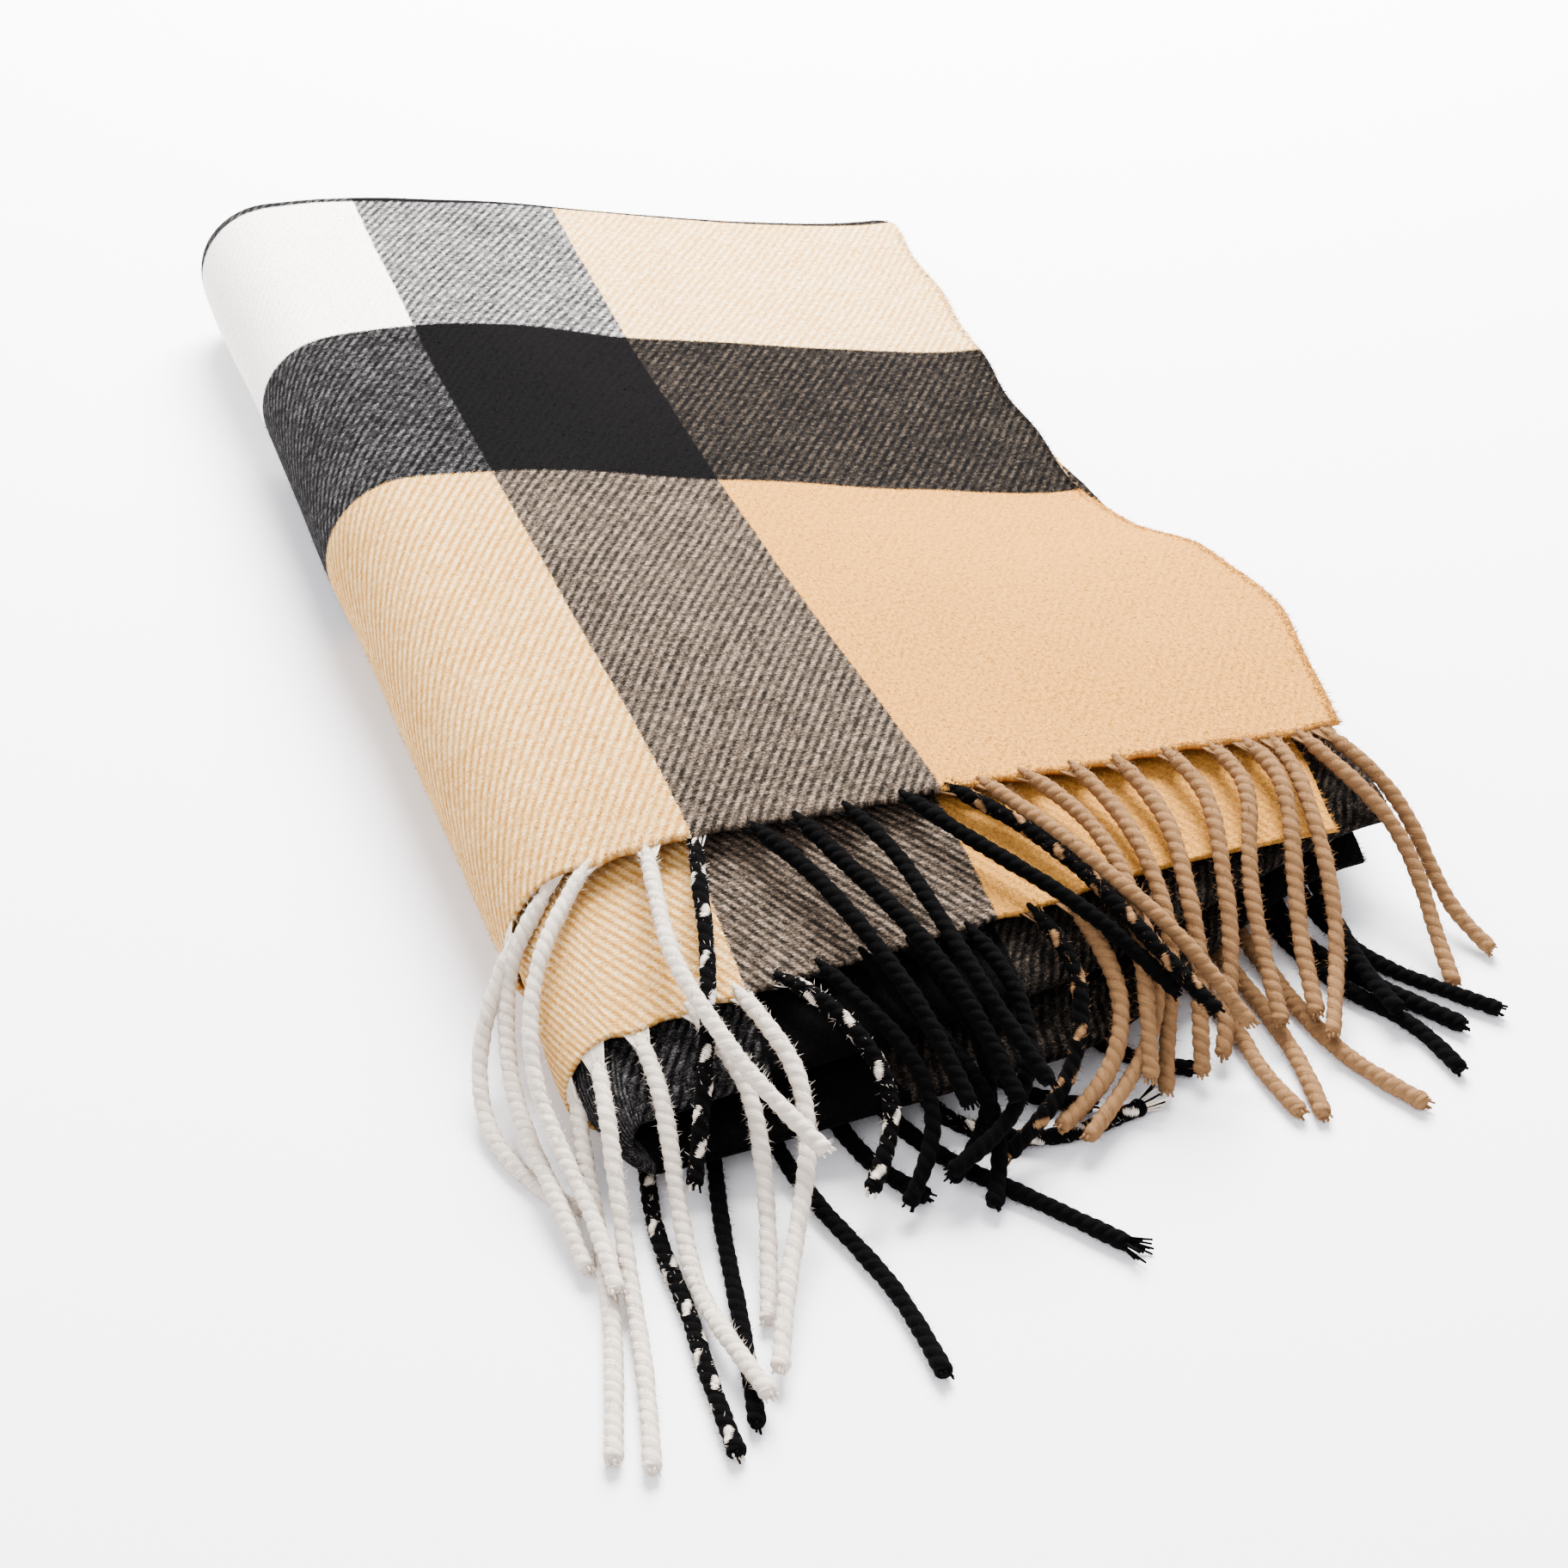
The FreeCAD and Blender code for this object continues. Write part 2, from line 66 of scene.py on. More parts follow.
# -------------------- the fringe's routes
# The same points as the CAD's tubes, in metres, from the root at the cloth's end to the tip.
TASSELS = {
    "outer_ivory_1": [
        (-0.134, -0.177, 0.037), (-0.144, -0.188, 0.027), (-0.153, -0.201, 0.013), (-0.156, -0.220, 0.004),
        (-0.152, -0.238, 0.003), (-0.145, -0.252, 0.003), (-0.138, -0.262, 0.003)],
    "outer_ivory_2": [
        (-0.119, -0.168, 0.047), (-0.134, -0.179, 0.038), (-0.142, -0.192, 0.022), (-0.146, -0.214, 0.011),
        (-0.146, -0.239, 0.009), (-0.144, -0.262, 0.009), (-0.142, -0.285, 0.004)],
    "outer_ivory_3": [
        (-0.107, -0.166, 0.051), (-0.124, -0.185, 0.047), (-0.137, -0.205, 0.036), (-0.142, -0.227, 0.023),
        (-0.139, -0.250, 0.014), (-0.136, -0.275, 0.010), (-0.137, -0.299, 0.008)],
    "outer_ivory_4": [
        (-0.090, -0.167, 0.053), (-0.093, -0.190, 0.052), (-0.096, -0.215, 0.050), (-0.092, -0.238, 0.046),
        (-0.084, -0.260, 0.036), (-0.070, -0.281, 0.025)],
    "outer_pied_1": [
        (-0.074, -0.167, 0.053), (-0.079, -0.187, 0.052), (-0.083, -0.209, 0.049), (-0.089, -0.230, 0.044),
        (-0.095, -0.247, 0.036), (-0.101, -0.261, 0.026), (-0.107, -0.274, 0.016)],
    "outer_black_1": [
        (-0.057, -0.166, 0.053), (-0.047, -0.187, 0.052), (-0.040, -0.211, 0.050), (-0.033, -0.234, 0.044),
        (-0.027, -0.256, 0.035), (-0.024, -0.275, 0.024)],
    "outer_black_2": [
        (-0.042, -0.166, 0.053), (-0.036, -0.187, 0.052), (-0.027, -0.212, 0.050), (-0.019, -0.237, 0.045),
        (-0.013, -0.259, 0.035), (-0.010, -0.278, 0.024)],
    "outer_black_3": [
        (-0.026, -0.166, 0.053), (-0.018, -0.187, 0.051), (-0.015, -0.211, 0.049), (-0.012, -0.235, 0.045),
        (-0.007, -0.258, 0.037), (0.000, -0.277, 0.027)],
    "outer_black_4": [
        (-0.007, -0.165, 0.052), (0.002, -0.184, 0.051), (0.014, -0.203, 0.049), (0.027, -0.222, 0.046),
        (0.040, -0.239, 0.038), (0.050, -0.254, 0.029)],
    "outer_pied_2": [
        (0.008, -0.165, 0.051), (0.019, -0.180, 0.050), (0.029, -0.196, 0.048), (0.037, -0.215, 0.046),
        (0.043, -0.234, 0.042), (0.050, -0.250, 0.036), (0.058, -0.265, 0.028)],
    "outer_camel_1": [
        (0.019, -0.165, 0.051), (0.027, -0.183, 0.051), (0.035, -0.201, 0.050), (0.043, -0.219, 0.047),
        (0.053, -0.236, 0.041), (0.062, -0.251, 0.031), (0.070, -0.264, 0.019)],
    "outer_camel_2": [
        (0.033, -0.165, 0.051), (0.042, -0.182, 0.050), (0.047, -0.203, 0.048), (0.048, -0.221, 0.043),
        (0.044, -0.241, 0.033), (0.040, -0.257, 0.022), (0.036, -0.270, 0.012)],
    "outer_camel_3": [
        (0.050, -0.165, 0.050), (0.056, -0.184, 0.048), (0.058, -0.206, 0.045), (0.058, -0.225, 0.037),
        (0.055, -0.241, 0.025), (0.048, -0.254, 0.012), (0.042, -0.269, 0.004)],
    "outer_camel_4": [
        (0.065, -0.165, 0.049), (0.070, -0.184, 0.047), (0.070, -0.204, 0.044), (0.067, -0.222, 0.037),
        (0.065, -0.238, 0.026), (0.060, -0.251, 0.014), (0.055, -0.266, 0.005)],
    "outer_camel_5": [
        (0.082, -0.165, 0.048), (0.087, -0.181, 0.047), (0.086, -0.198, 0.044), (0.082, -0.214, 0.037),
        (0.079, -0.229, 0.027), (0.073, -0.245, 0.015), (0.064, -0.261, 0.005)],
    "outer_camel_6": [
        (0.098, -0.165, 0.046), (0.102, -0.180, 0.046), (0.100, -0.194, 0.044), (0.094, -0.207, 0.038),
        (0.089, -0.222, 0.029), (0.087, -0.239, 0.018), (0.085, -0.257, 0.009)],
    "outer_camel_7": [
        (0.110, -0.165, 0.045), (0.114, -0.178, 0.045), (0.113, -0.193, 0.043), (0.109, -0.208, 0.036),
        (0.104, -0.223, 0.026), (0.100, -0.239, 0.016), (0.097, -0.257, 0.009)],
    "outer_camel_8": [
        (0.120, -0.165, 0.044), (0.121, -0.181, 0.044), (0.119, -0.200, 0.039), (0.117, -0.217, 0.031),
        (0.114, -0.232, 0.021), (0.108, -0.247, 0.012), (0.098, -0.266, 0.008)],
    "outer_camel_9": [
        (0.129, -0.165, 0.044), (0.134, -0.179, 0.042), (0.142, -0.193, 0.036), (0.148, -0.206, 0.028),
        (0.150, -0.220, 0.018), (0.149, -0.235, 0.008), (0.147, -0.252, 0.003)],
    "outer_camel_10": [
        (0.138, -0.166, 0.043), (0.145, -0.179, 0.040), (0.152, -0.191, 0.033), (0.156, -0.203, 0.024),
        (0.158, -0.215, 0.014), (0.161, -0.228, 0.006), (0.166, -0.241, 0.003)],
    "inner_ivory_1": [
        (-0.130, -0.230, 0.022), (-0.133, -0.247, 0.013), (-0.135, -0.270, 0.004), (-0.139, -0.300, 0.003),
        (-0.146, -0.328, 0.003), (-0.153, -0.352, 0.003)],
    "inner_ivory_2": [
        (-0.123, -0.228, 0.030), (-0.125, -0.246, 0.028), (-0.128, -0.266, 0.017), (-0.131, -0.287, 0.006),
        (-0.134, -0.309, 0.003), (-0.138, -0.333, 0.003), (-0.144, -0.358, 0.003)],
    "inner_ivory_3": [
        (-0.110, -0.226, 0.034), (-0.109, -0.243, 0.032), (-0.110, -0.259, 0.023), (-0.113, -0.280, 0.009),
        (-0.115, -0.302, 0.004), (-0.113, -0.325, 0.008), (-0.108, -0.347, 0.008)],
    "inner_ivory_4": [
        (-0.094, -0.223, 0.038), (-0.088, -0.240, 0.035), (-0.084, -0.256, 0.028), (-0.086, -0.273, 0.017),
        (-0.091, -0.294, 0.005), (-0.099, -0.318, 0.003)],
    "inner_ivory_5": [
        (-0.079, -0.222, 0.040), (-0.074, -0.238, 0.038), (-0.069, -0.255, 0.031), (-0.072, -0.273, 0.020),
        (-0.082, -0.293, 0.011), (-0.093, -0.315, 0.009), (-0.102, -0.338, 0.006)],
    "inner_pied_1": [
        (-0.066, -0.221, 0.040), (-0.057, -0.233, 0.040), (-0.049, -0.247, 0.035), (-0.044, -0.261, 0.027),
        (-0.047, -0.275, 0.018), (-0.058, -0.287, 0.011)],
    "inner_pied_2": [
        (0.016, -0.217, 0.042), (0.022, -0.232, 0.038), (0.022, -0.249, 0.030), (0.014, -0.264, 0.020),
        (0.001, -0.275, 0.012), (-0.014, -0.282, 0.007)],
    "inner_black_1": [
        (-0.005, -0.219, 0.042), (0.001, -0.238, 0.038), (0.002, -0.256, 0.031), (-0.005, -0.272, 0.022),
        (-0.018, -0.283, 0.016), (-0.034, -0.288, 0.012)],
    "inner_camel_1": [
        (0.029, -0.216, 0.042), (0.033, -0.232, 0.036), (0.035, -0.247, 0.027), (0.030, -0.260, 0.018),
        (0.018, -0.271, 0.011), (0.004, -0.278, 0.009)],
    "inner_camel_2": [
        (0.046, -0.214, 0.041), (0.050, -0.229, 0.035), (0.049, -0.243, 0.026), (0.042, -0.257, 0.016),
        (0.028, -0.270, 0.010), (0.011, -0.283, 0.007)],
    "lower_pied_1": [
        (-0.112, -0.238, 0.008), (-0.117, -0.258, 0.004), (-0.120, -0.282, 0.003), (-0.119, -0.308, 0.003),
        (-0.121, -0.334, 0.003), (-0.121, -0.360, 0.003)],
    "lower_black_1": [
        (-0.092, -0.236, 0.008), (-0.095, -0.253, 0.004), (-0.100, -0.275, 0.003), (-0.104, -0.300, 0.003),
        (-0.108, -0.327, 0.003), (-0.113, -0.352, 0.003)],
    "lower_black_2": [
        (-0.078, -0.235, 0.008), (-0.077, -0.254, 0.004), (-0.073, -0.278, 0.003), (-0.066, -0.301, 0.003),
        (-0.060, -0.325, 0.003), (-0.059, -0.351, 0.003)],
    "lower_black_3": [
        (-0.046, -0.228, 0.008), (-0.043, -0.246, 0.004), (-0.037, -0.263, 0.003), (-0.027, -0.280, 0.003),
        (-0.014, -0.295, 0.003), (-0.003, -0.309, 0.003), (0.007, -0.322, 0.003)],
    "lower_pied_2": [
        (-0.024, -0.223, 0.008), (-0.029, -0.241, 0.004), (-0.026, -0.258, 0.003), (-0.014, -0.270, 0.003),
        (0.001, -0.276, 0.003), (0.017, -0.276, 0.003), (0.033, -0.272, 0.003)],
    "lower_camel_1": [
        (0.064, -0.203, 0.008), (0.068, -0.218, 0.004), (0.072, -0.235, 0.003), (0.074, -0.253, 0.003),
        (0.073, -0.271, 0.003), (0.077, -0.289, 0.003)],
    "lower_camel_2": [
        (0.078, -0.199, 0.008), (0.082, -0.216, 0.004), (0.085, -0.235, 0.003), (0.086, -0.254, 0.003),
        (0.086, -0.273, 0.003), (0.083, -0.292, 0.003)],
    "lower_camel_3": [
        (0.090, -0.196, 0.008), (0.093, -0.215, 0.004), (0.095, -0.236, 0.003), (0.097, -0.258, 0.003),
        (0.103, -0.279, 0.003), (0.114, -0.297, 0.003)],
}
TANGLE_NODE = "tassels_black_tangle"
TANGLE = {
    "lower_black_4": [
        (0.102, -0.192, 0.008), (0.104, -0.211, 0.004), (0.108, -0.229, 0.003), (0.114, -0.245, 0.003),
        (0.123, -0.258, 0.003), (0.129, -0.272, 0.003), (0.131, -0.287, 0.003)],
    "lower_black_5": [
        (0.110, -0.189, 0.008), (0.108, -0.208, 0.004), (0.112, -0.226, 0.003), (0.121, -0.241, 0.003),
        (0.131, -0.256, 0.003), (0.141, -0.270, 0.003)],
    "lower_black_6": [
        (0.118, -0.186, 0.008), (0.119, -0.205, 0.004), (0.123, -0.223, 0.003), (0.130, -0.239, 0.003),
        (0.142, -0.253, 0.003), (0.155, -0.267, 0.003)],
    "lower_black_7": [
        (0.126, -0.183, 0.010), (0.123, -0.204, 0.008), (0.121, -0.223, 0.009), (0.119, -0.243, 0.009),
        (0.122, -0.262, 0.008)],
    "inner_black_2": [
        (-0.053, -0.221, 0.042), (-0.046, -0.237, 0.039), (-0.037, -0.253, 0.033), (-0.033, -0.268, 0.024),
        (-0.037, -0.281, 0.014), (-0.048, -0.291, 0.006)],
    "inner_black_3": [
        (-0.039, -0.220, 0.042), (-0.033, -0.239, 0.037), (-0.024, -0.256, 0.031), (-0.016, -0.271, 0.020),
        (-0.016, -0.283, 0.008), (-0.024, -0.297, 0.004)],
    "inner_black_4": [
        (-0.024, -0.220, 0.042), (-0.018, -0.238, 0.037), (-0.013, -0.254, 0.029), (-0.014, -0.268, 0.017),
        (-0.022, -0.278, 0.009), (-0.033, -0.287, 0.008)],
    "lower_black_8": [
        (-0.060, -0.232, 0.008), (-0.057, -0.249, 0.004), (-0.054, -0.263, 0.003), (-0.049, -0.276, 0.003),
        (-0.041, -0.287, 0.003)],
    "lower_black_9": [
        (-0.010, -0.220, 0.008), (-0.008, -0.236, 0.004), (-0.003, -0.250, 0.003), (0.006, -0.261, 0.003),
        (0.019, -0.267, 0.003)],
    "lower_black_10": [
        (0.022, -0.214, 0.008), (0.026, -0.231, 0.004), (0.033, -0.246, 0.003), (0.043, -0.256, 0.003),
        (0.054, -0.262, 0.003)],
}

# -------------------- the shape of the bundle
GAUGE = 1.7
LAYERS = 8
# Height of the bundle on lines across it: at the book fold, at HEIGHT_X and at the open side.
LINES_Y = [-290, -232, -168, -125, -85, -50, -10, 30, 145, 262]
HEIGHTS = [
    [26, 28, 32, 28, 22],
    [40, 44, 45, 40, 30],
    [52, 54, 52, 49, 44],
    [55, 57, 50, 48, 44],
    [58, 59, 48, 45, 41],
    [59, 60, 46, 41, 37],
    [60, 60, 43, 33, 25],
    [61, 60, 41, 27, 17],
    [59, 57, 40, 26, 17],
    [58, 56, 39, 25, 17],
]
HEIGHT_X = [-85.0, 0.0, 70.0]
BOOK_FOLD_X = [-108, -118, -112, -112, -113, -114, -115, -117, -121, -126]
OUTER_SELVEDGE_X = [140, 144, 145, 152, 155, 150, 140, 134, 135, 138]
# Open side of the other seven layers, from the top down.
INNER_SELVEDGES_Y = [-200, -50, 150]
INNER_SELVEDGES_X = [
    [128, 138, 131],
    [150, 146, 133],
    [151, 147, 133],
    [140, 138, 132],
    [139, 137, 132],
    [136, 136, 131],
    [134, 135, 131],
]
# Where ends and folds lie in Y, at stations across the cloth: 0..1 is the upper half, 1..2 the
# book fold, 2..3 the lower half.
ACROSS = [0.0, 0.5, 1.0, 2.0, 2.5, 3.0]
OUTER_END = [-165, -166, -168, -178, -174, -170]
INNER_END = [-203, -217, -226, -236, -212, -178]
NEAR_FOLD = [-195, -238, -250, -261, -255, -200]
FAR_FOLD = [254, 267, 276, 275, 266, 254]
IVORY_END = [250, 261, 266, 266, 261, 250]
# How far each fold reaches past the layers that it joins, how far the inner one stays back
# from the far fold, and the gap between layers at the book fold.
OUTER_REACH = 13.0
NEAR_REACH = 9.0
INNER_REACH = 5.0
INNER_FOLD_BACK = 2.0
BOOK_GAP = 1.6


def smooth(stations, values, at):
    """Monotone cubic through a few values, held level past both ends; takes arrays."""
    stations = [np.asarray(s, float) for s in stations]
    values = [np.asarray(v, float) for v in values]
    steps = [b - a for a, b in zip(stations, stations[1:])]
    slopes = [(b - a) / step for a, b, step in zip(values, values[1:], steps)]
    tangents = [np.zeros_like(slopes[0])]
    for before, after in zip(slopes, slopes[1:]):
        product = before * after
        total = np.where(before + after == 0.0, 1.0, before + after)
        tangents.append(np.where(product > 0.0, 2.0 * product / total, 0.0))
    tangents.append(np.zeros_like(slopes[0]))
    at = np.clip(at, stations[0], stations[-1])
    result = 0.0
    for i, step in enumerate(steps):
        f = (at - stations[i]) / step
        piece = (values[i] * (1 + 2 * f) * (1 - f) ** 2 + tangents[i] * step * f * (1 - f) ** 2
                 + values[i + 1] * f * f * (3 - 2 * f)
                 + tangents[i + 1] * step * f * f * (f - 1))
        result = np.where(at >= stations[i], piece, result)
    return result


def waves(x, y):
    """Soft unevenness of the bundle's height, a millimetre or so."""
    return (0.9 * np.sin(x / 31.0 + 0.7) * np.sin(y / 44.0 + 1.1)
            + 0.5 * np.sin(x / 17.0 + y / 29.0) + 0.35 * np.sin(x / 12.0 - y / 15.0 + 2.0))


def bundle_height(x, y):
    """Height of the top face; the waves die away where the bundle is thin."""
    lines = [smooth(LINES_Y, column, y) for column in zip(*HEIGHTS)]
    centre = smooth(LINES_Y, BOOK_FOLD_X, y)
    edge = smooth(LINES_Y, OUTER_SELVEDGE_X, y)
    plain = smooth([centre, *HEIGHT_X, edge], lines, x)
    return plain - 0.8 + waves(x, y) * np.clip((plain - 12.0) / 40.0, 0.1, 1.0)


def selvedge(y, layer):
    """X of the open side; layer may lie between two layers, inside a fold."""
    edges = [smooth(LINES_Y, OUTER_SELVEDGE_X, y)]
    edges += [smooth(INNER_SELVEDGES_Y, row, y) for row in INNER_SELVEDGES_X]
    edges = np.stack(np.broadcast_arrays(*edges))
    lower = np.clip(layer.astype(int), 0, LAYERS - 2)
    part = layer - lower
    one = np.take_along_axis(edges, lower[None], 0)[0]
    two = np.take_along_axis(edges, lower[None] + 1, 0)[0]
    ripple = 0.9 * np.sin(y / 9.0 + layer * 2.1) + 0.6 * np.sin(y / 21.0 + layer)
    return one * (1 - part) + two * part + ripple


def cloth_point(across, y, layer):
    """Middle surface of the cloth; across is 0..1 upper, 1..2 book fold, 2..3 lower."""
    centre = smooth(LINES_Y, BOOK_FOLD_X, y)
    round_fold = (across >= 1.0) & (across <= 2.0)
    upper = across < 1.0
    level = np.where(upper, layer, LAYERS - 1 - layer)
    edge = selvedge(y, level)
    x = np.where(upper, edge + (centre - edge) * across, centre + (edge - centre) * (across - 2))
    pitch = (bundle_height(x, y) - GAUGE) / (LAYERS - 1)
    z = GAUGE / 2 + pitch * (LAYERS - 1 - level)
    fold_pitch = (bundle_height(centre, y) - GAUGE) / (LAYERS - 1)
    radius = fold_pitch * (LAYERS - 1 - 2 * layer) / 2
    turn = math.pi * (across - 1)
    bulge = radius + layer * (fold_pitch - GAUGE - BOOK_GAP)
    x = np.where(round_fold, centre - bulge * np.sin(turn), x)
    middle = GAUGE / 2 + fold_pitch * (LAYERS - 1) / 2
    z = np.where(round_fold, middle + radius * np.cos(turn), z)
    return np.stack([x, y, z], -1)


RUNS = [("outer_face", 130, None), ("far_fold", 16, 38), ("third_layer", 40, 515),
        ("near_fold", 12, 18), ("second_layer", 40, 505), ("inner_fold", 8, 14),
        ("inner_face", 56, 485)]


def serpentine(run, along, across):
    """Y and layer of the cloth, part way along one run of its path."""
    outer_y, inner_y, near_y, far_y = (
        smooth(ACROSS, row, across) for row in (OUTER_END, INNER_END, NEAR_FOLD, FAR_FOLD))
    far, near = far_y - OUTER_REACH, near_y + NEAR_REACH
    inner_far = far - INNER_FOLD_BACK
    turn = math.pi * along
    flat = np.zeros_like(across)
    if run == "outer_face":
        return outer_y + (far - outer_y) * along, flat
    if run == "far_fold":
        return far_y - OUTER_REACH * (1 - math.sin(turn)), flat + 1.5 - 1.5 * math.cos(turn)
    if run == "third_layer":
        return far + (near - far) * along, flat + 3.0
    if run == "near_fold":
        return near_y + NEAR_REACH * (1 - math.sin(turn)), flat + 2.5 + 0.5 * math.cos(turn)
    if run == "second_layer":
        return near + (inner_far - near) * along, flat + 2.0
    if run == "inner_fold":
        return inner_far + INNER_REACH * math.sin(turn), flat + 1.5 + 0.5 * math.cos(turn)
    return inner_far + (inner_y - inner_far) * along, flat + 1.0


BOOK_ARC = 91.0
# The columns of the check lean a little across the folded face.
LEAN_Y = [-165, -67, 33, 146, 255]
LEAN = [-9.5, -4.5, 0.5, 4.5, 5.5]
# X of the tassels tied at the two visible ends.
OUTER_ROOTS = [-119, -107, -90, -74, -57, -42, -26, -7, 8, 19, 33, 50, 65, 82, 98, 110, 120, 129]
INNER_ROOTS = [-110, -94, -79, -66, -53, -39, -24, -5, 16, 29, 46]
POINT_LENGTH = 2.0
POINT_WIDTH = 3.5
POINT_FADE = 4.0
# About how long the outer and the inner face are, for the distance from those points.
OUTER_LENGTH = 420.0
INNER_LENGTH = 470.0
# Place on the check where the far ivory stripe ends, and the weft's skew on the outer face.
IVORY_END_PLACE = 434.0
SKEW = 0.045
SKEW_CENTRE_X = 20.0
SKEW_LENGTH = 430
# Rows of mesh stand closer together near both fringed ends.
OUTER_ROW_POWER = 1.25
INNER_ROW_POWER = 1.5
UPPER_COLUMNS = 99
BOOK_COLUMNS = 24
LOWER_COLUMNS = 36
COLUMNS = np.concatenate([np.linspace(0, 1, UPPER_COLUMNS + 1),
                          1 + np.linspace(0, 1, BOOK_COLUMNS + 1)[1:],
                          2 + np.linspace(0, 1, LOWER_COLUMNS + 1)[1:]])


def fabric_width(across, x, y):
    """Place across the flat cloth in mm: 0 at the first warp stripe edge, growing to -X."""
    centre = smooth(LINES_Y, BOOK_FOLD_X, y)
    upper = -x
    round_fold = -centre + BOOK_ARC * (across - 1.0)
    lower = -centre + BOOK_ARC + (x - centre)
    place = np.where(across < 1.0, upper, np.where(across <= 2.0, round_fold, lower))
    return place - smooth(LEAN_Y, LEAN, y)


def drawn_out(x, roots, distance):
    """How far the upper half's end is drawn into points where its tassels are tied."""
    points = sum(np.exp(-((x - root) / POINT_WIDTH) ** 2 / 2) for root in roots)
    return np.where(COLUMNS < 1.0, POINT_LENGTH * points * math.exp(-distance / POINT_FADE), 0.0)


def outer_place(x, y):
    end_y = smooth(ACROSS, OUTER_END, COLUMNS)
    ivory_y = smooth(ACROSS, IVORY_END, COLUMNS)
    v = IVORY_END_PLACE * (y - end_y) / (ivory_y - end_y)
    return v + SKEW * (x - SKEW_CENTRE_X) * np.sin(math.pi * np.clip(v / SKEW_LENGTH, 0, 1))


def cloth_rows():
    """Points and fabric places of the whole middle surface, one row per station."""
    rows, places = [], []
    for run, count, run_length in RUNS:
        alongs = np.linspace(0, 1, count + 1)
        if run == "outer_face":
            alongs = alongs ** OUTER_ROW_POWER
        if run == "inner_face":
            alongs = 1 - (1 - alongs) ** INNER_ROW_POWER
        if rows:
            alongs = alongs[1:]
        for along in alongs:
            y, layer = serpentine(run, along, COLUMNS)
            point = cloth_point(COLUMNS, y, layer)
            x = point[:, 0]
            v = outer_place(x, y) if run == "outer_face" else base + run_length * along
            if run == "outer_face":
                point[:, 1] -= drawn_out(x, OUTER_ROOTS, along * OUTER_LENGTH)
            if run == "inner_face":
                point[:, 1] -= drawn_out(x, INNER_ROOTS, (1.0 - along) * INNER_LENGTH)
            rows.append(point)
            places.append(np.stack([fabric_width(COLUMNS, x, y), v], -1))
        base = v
    return np.array(rows), np.array(places)


ROWS, PLACES = cloth_rows()


def unit(vectors):
    return vectors / np.linalg.norm(vectors, axis=-1, keepdims=True)


# Unit normals that point out of the cloth's outer side.
NORMALS = unit(np.cross(np.gradient(ROWS, axis=0), np.gradient(ROWS, axis=1)))


def make_mesh(name, vertices, faces, uvs, materials, face_materials=None):
    """A mesh object in metres; faces and uvs are lists of arrays, one uv for each corner."""
    mesh = bpy.data.meshes.new(name)
    corners = np.concatenate([block.ravel() for block in faces]).astype(np.int32)
    sizes = np.concatenate([np.full(len(block), block.shape[1]) for block in faces])
    starts = np.concatenate([[0], np.cumsum(sizes)[:-1]]).astype(np.int32)
    mesh.vertices.add(len(vertices))
    mesh.vertices.foreach_set("co", (vertices * MM).astype(np.float32).ravel())
    mesh.loops.add(len(corners))
    mesh.loops.foreach_set("vertex_index", corners)
    mesh.polygons.add(len(sizes))
    mesh.polygons.foreach_set("loop_start", starts)
    for material in materials:
        mesh.materials.append(material)
    if face_materials is not None:
        mesh.polygons.foreach_set("material_index", face_materials.astype(np.int32))
    mesh.polygons.foreach_set("use_smooth", np.ones(len(sizes), dtype=bool))
    mesh.update(calc_edges=True)
    layer = mesh.uv_layers.new(name="fabric")
    flat = np.concatenate([block.reshape(-1, 2) for block in uvs]) * MM
    layer.data.foreach_set("uv", flat.astype(np.float32).ravel())
    return in_scene(name, mesh)


# -------------------- colours
# Linear colours of the wool.  The stripes are (place where each begins, colour), and each span
# reaches past them all.
IVORY = (0.93, 0.885, 0.80)
CAMEL = (0.43, 0.190, 0.033)
BLACK = (0.0015, 0.0013, 0.0014)
YARN_IVORY = (0.66, 0.575, 0.48)
YARN_CAMEL = (0.205, 0.107, 0.046)
WARP_BANDS = [(-170, CAMEL), (0, BLACK), (85, IVORY), (205, BLACK), (290, CAMEL), (415, BLACK)]
WEFT_BANDS = [(0, CAMEL), (199, BLACK), (315.5, IVORY), (424, BLACK), (549, CAMEL),
              (894, BLACK), (1039, IVORY), (1154, BLACK), (1269, CAMEL), (1504, BLACK),
              (1619, IVORY), (1734, BLACK), (1849, CAMEL)]
WARP_SPAN = (-200.0, 800.0)
WEFT_SPAN = (-10.0, 2200.0)
# The stripes are mixed as this root of their colours.
ROOT = 6.0


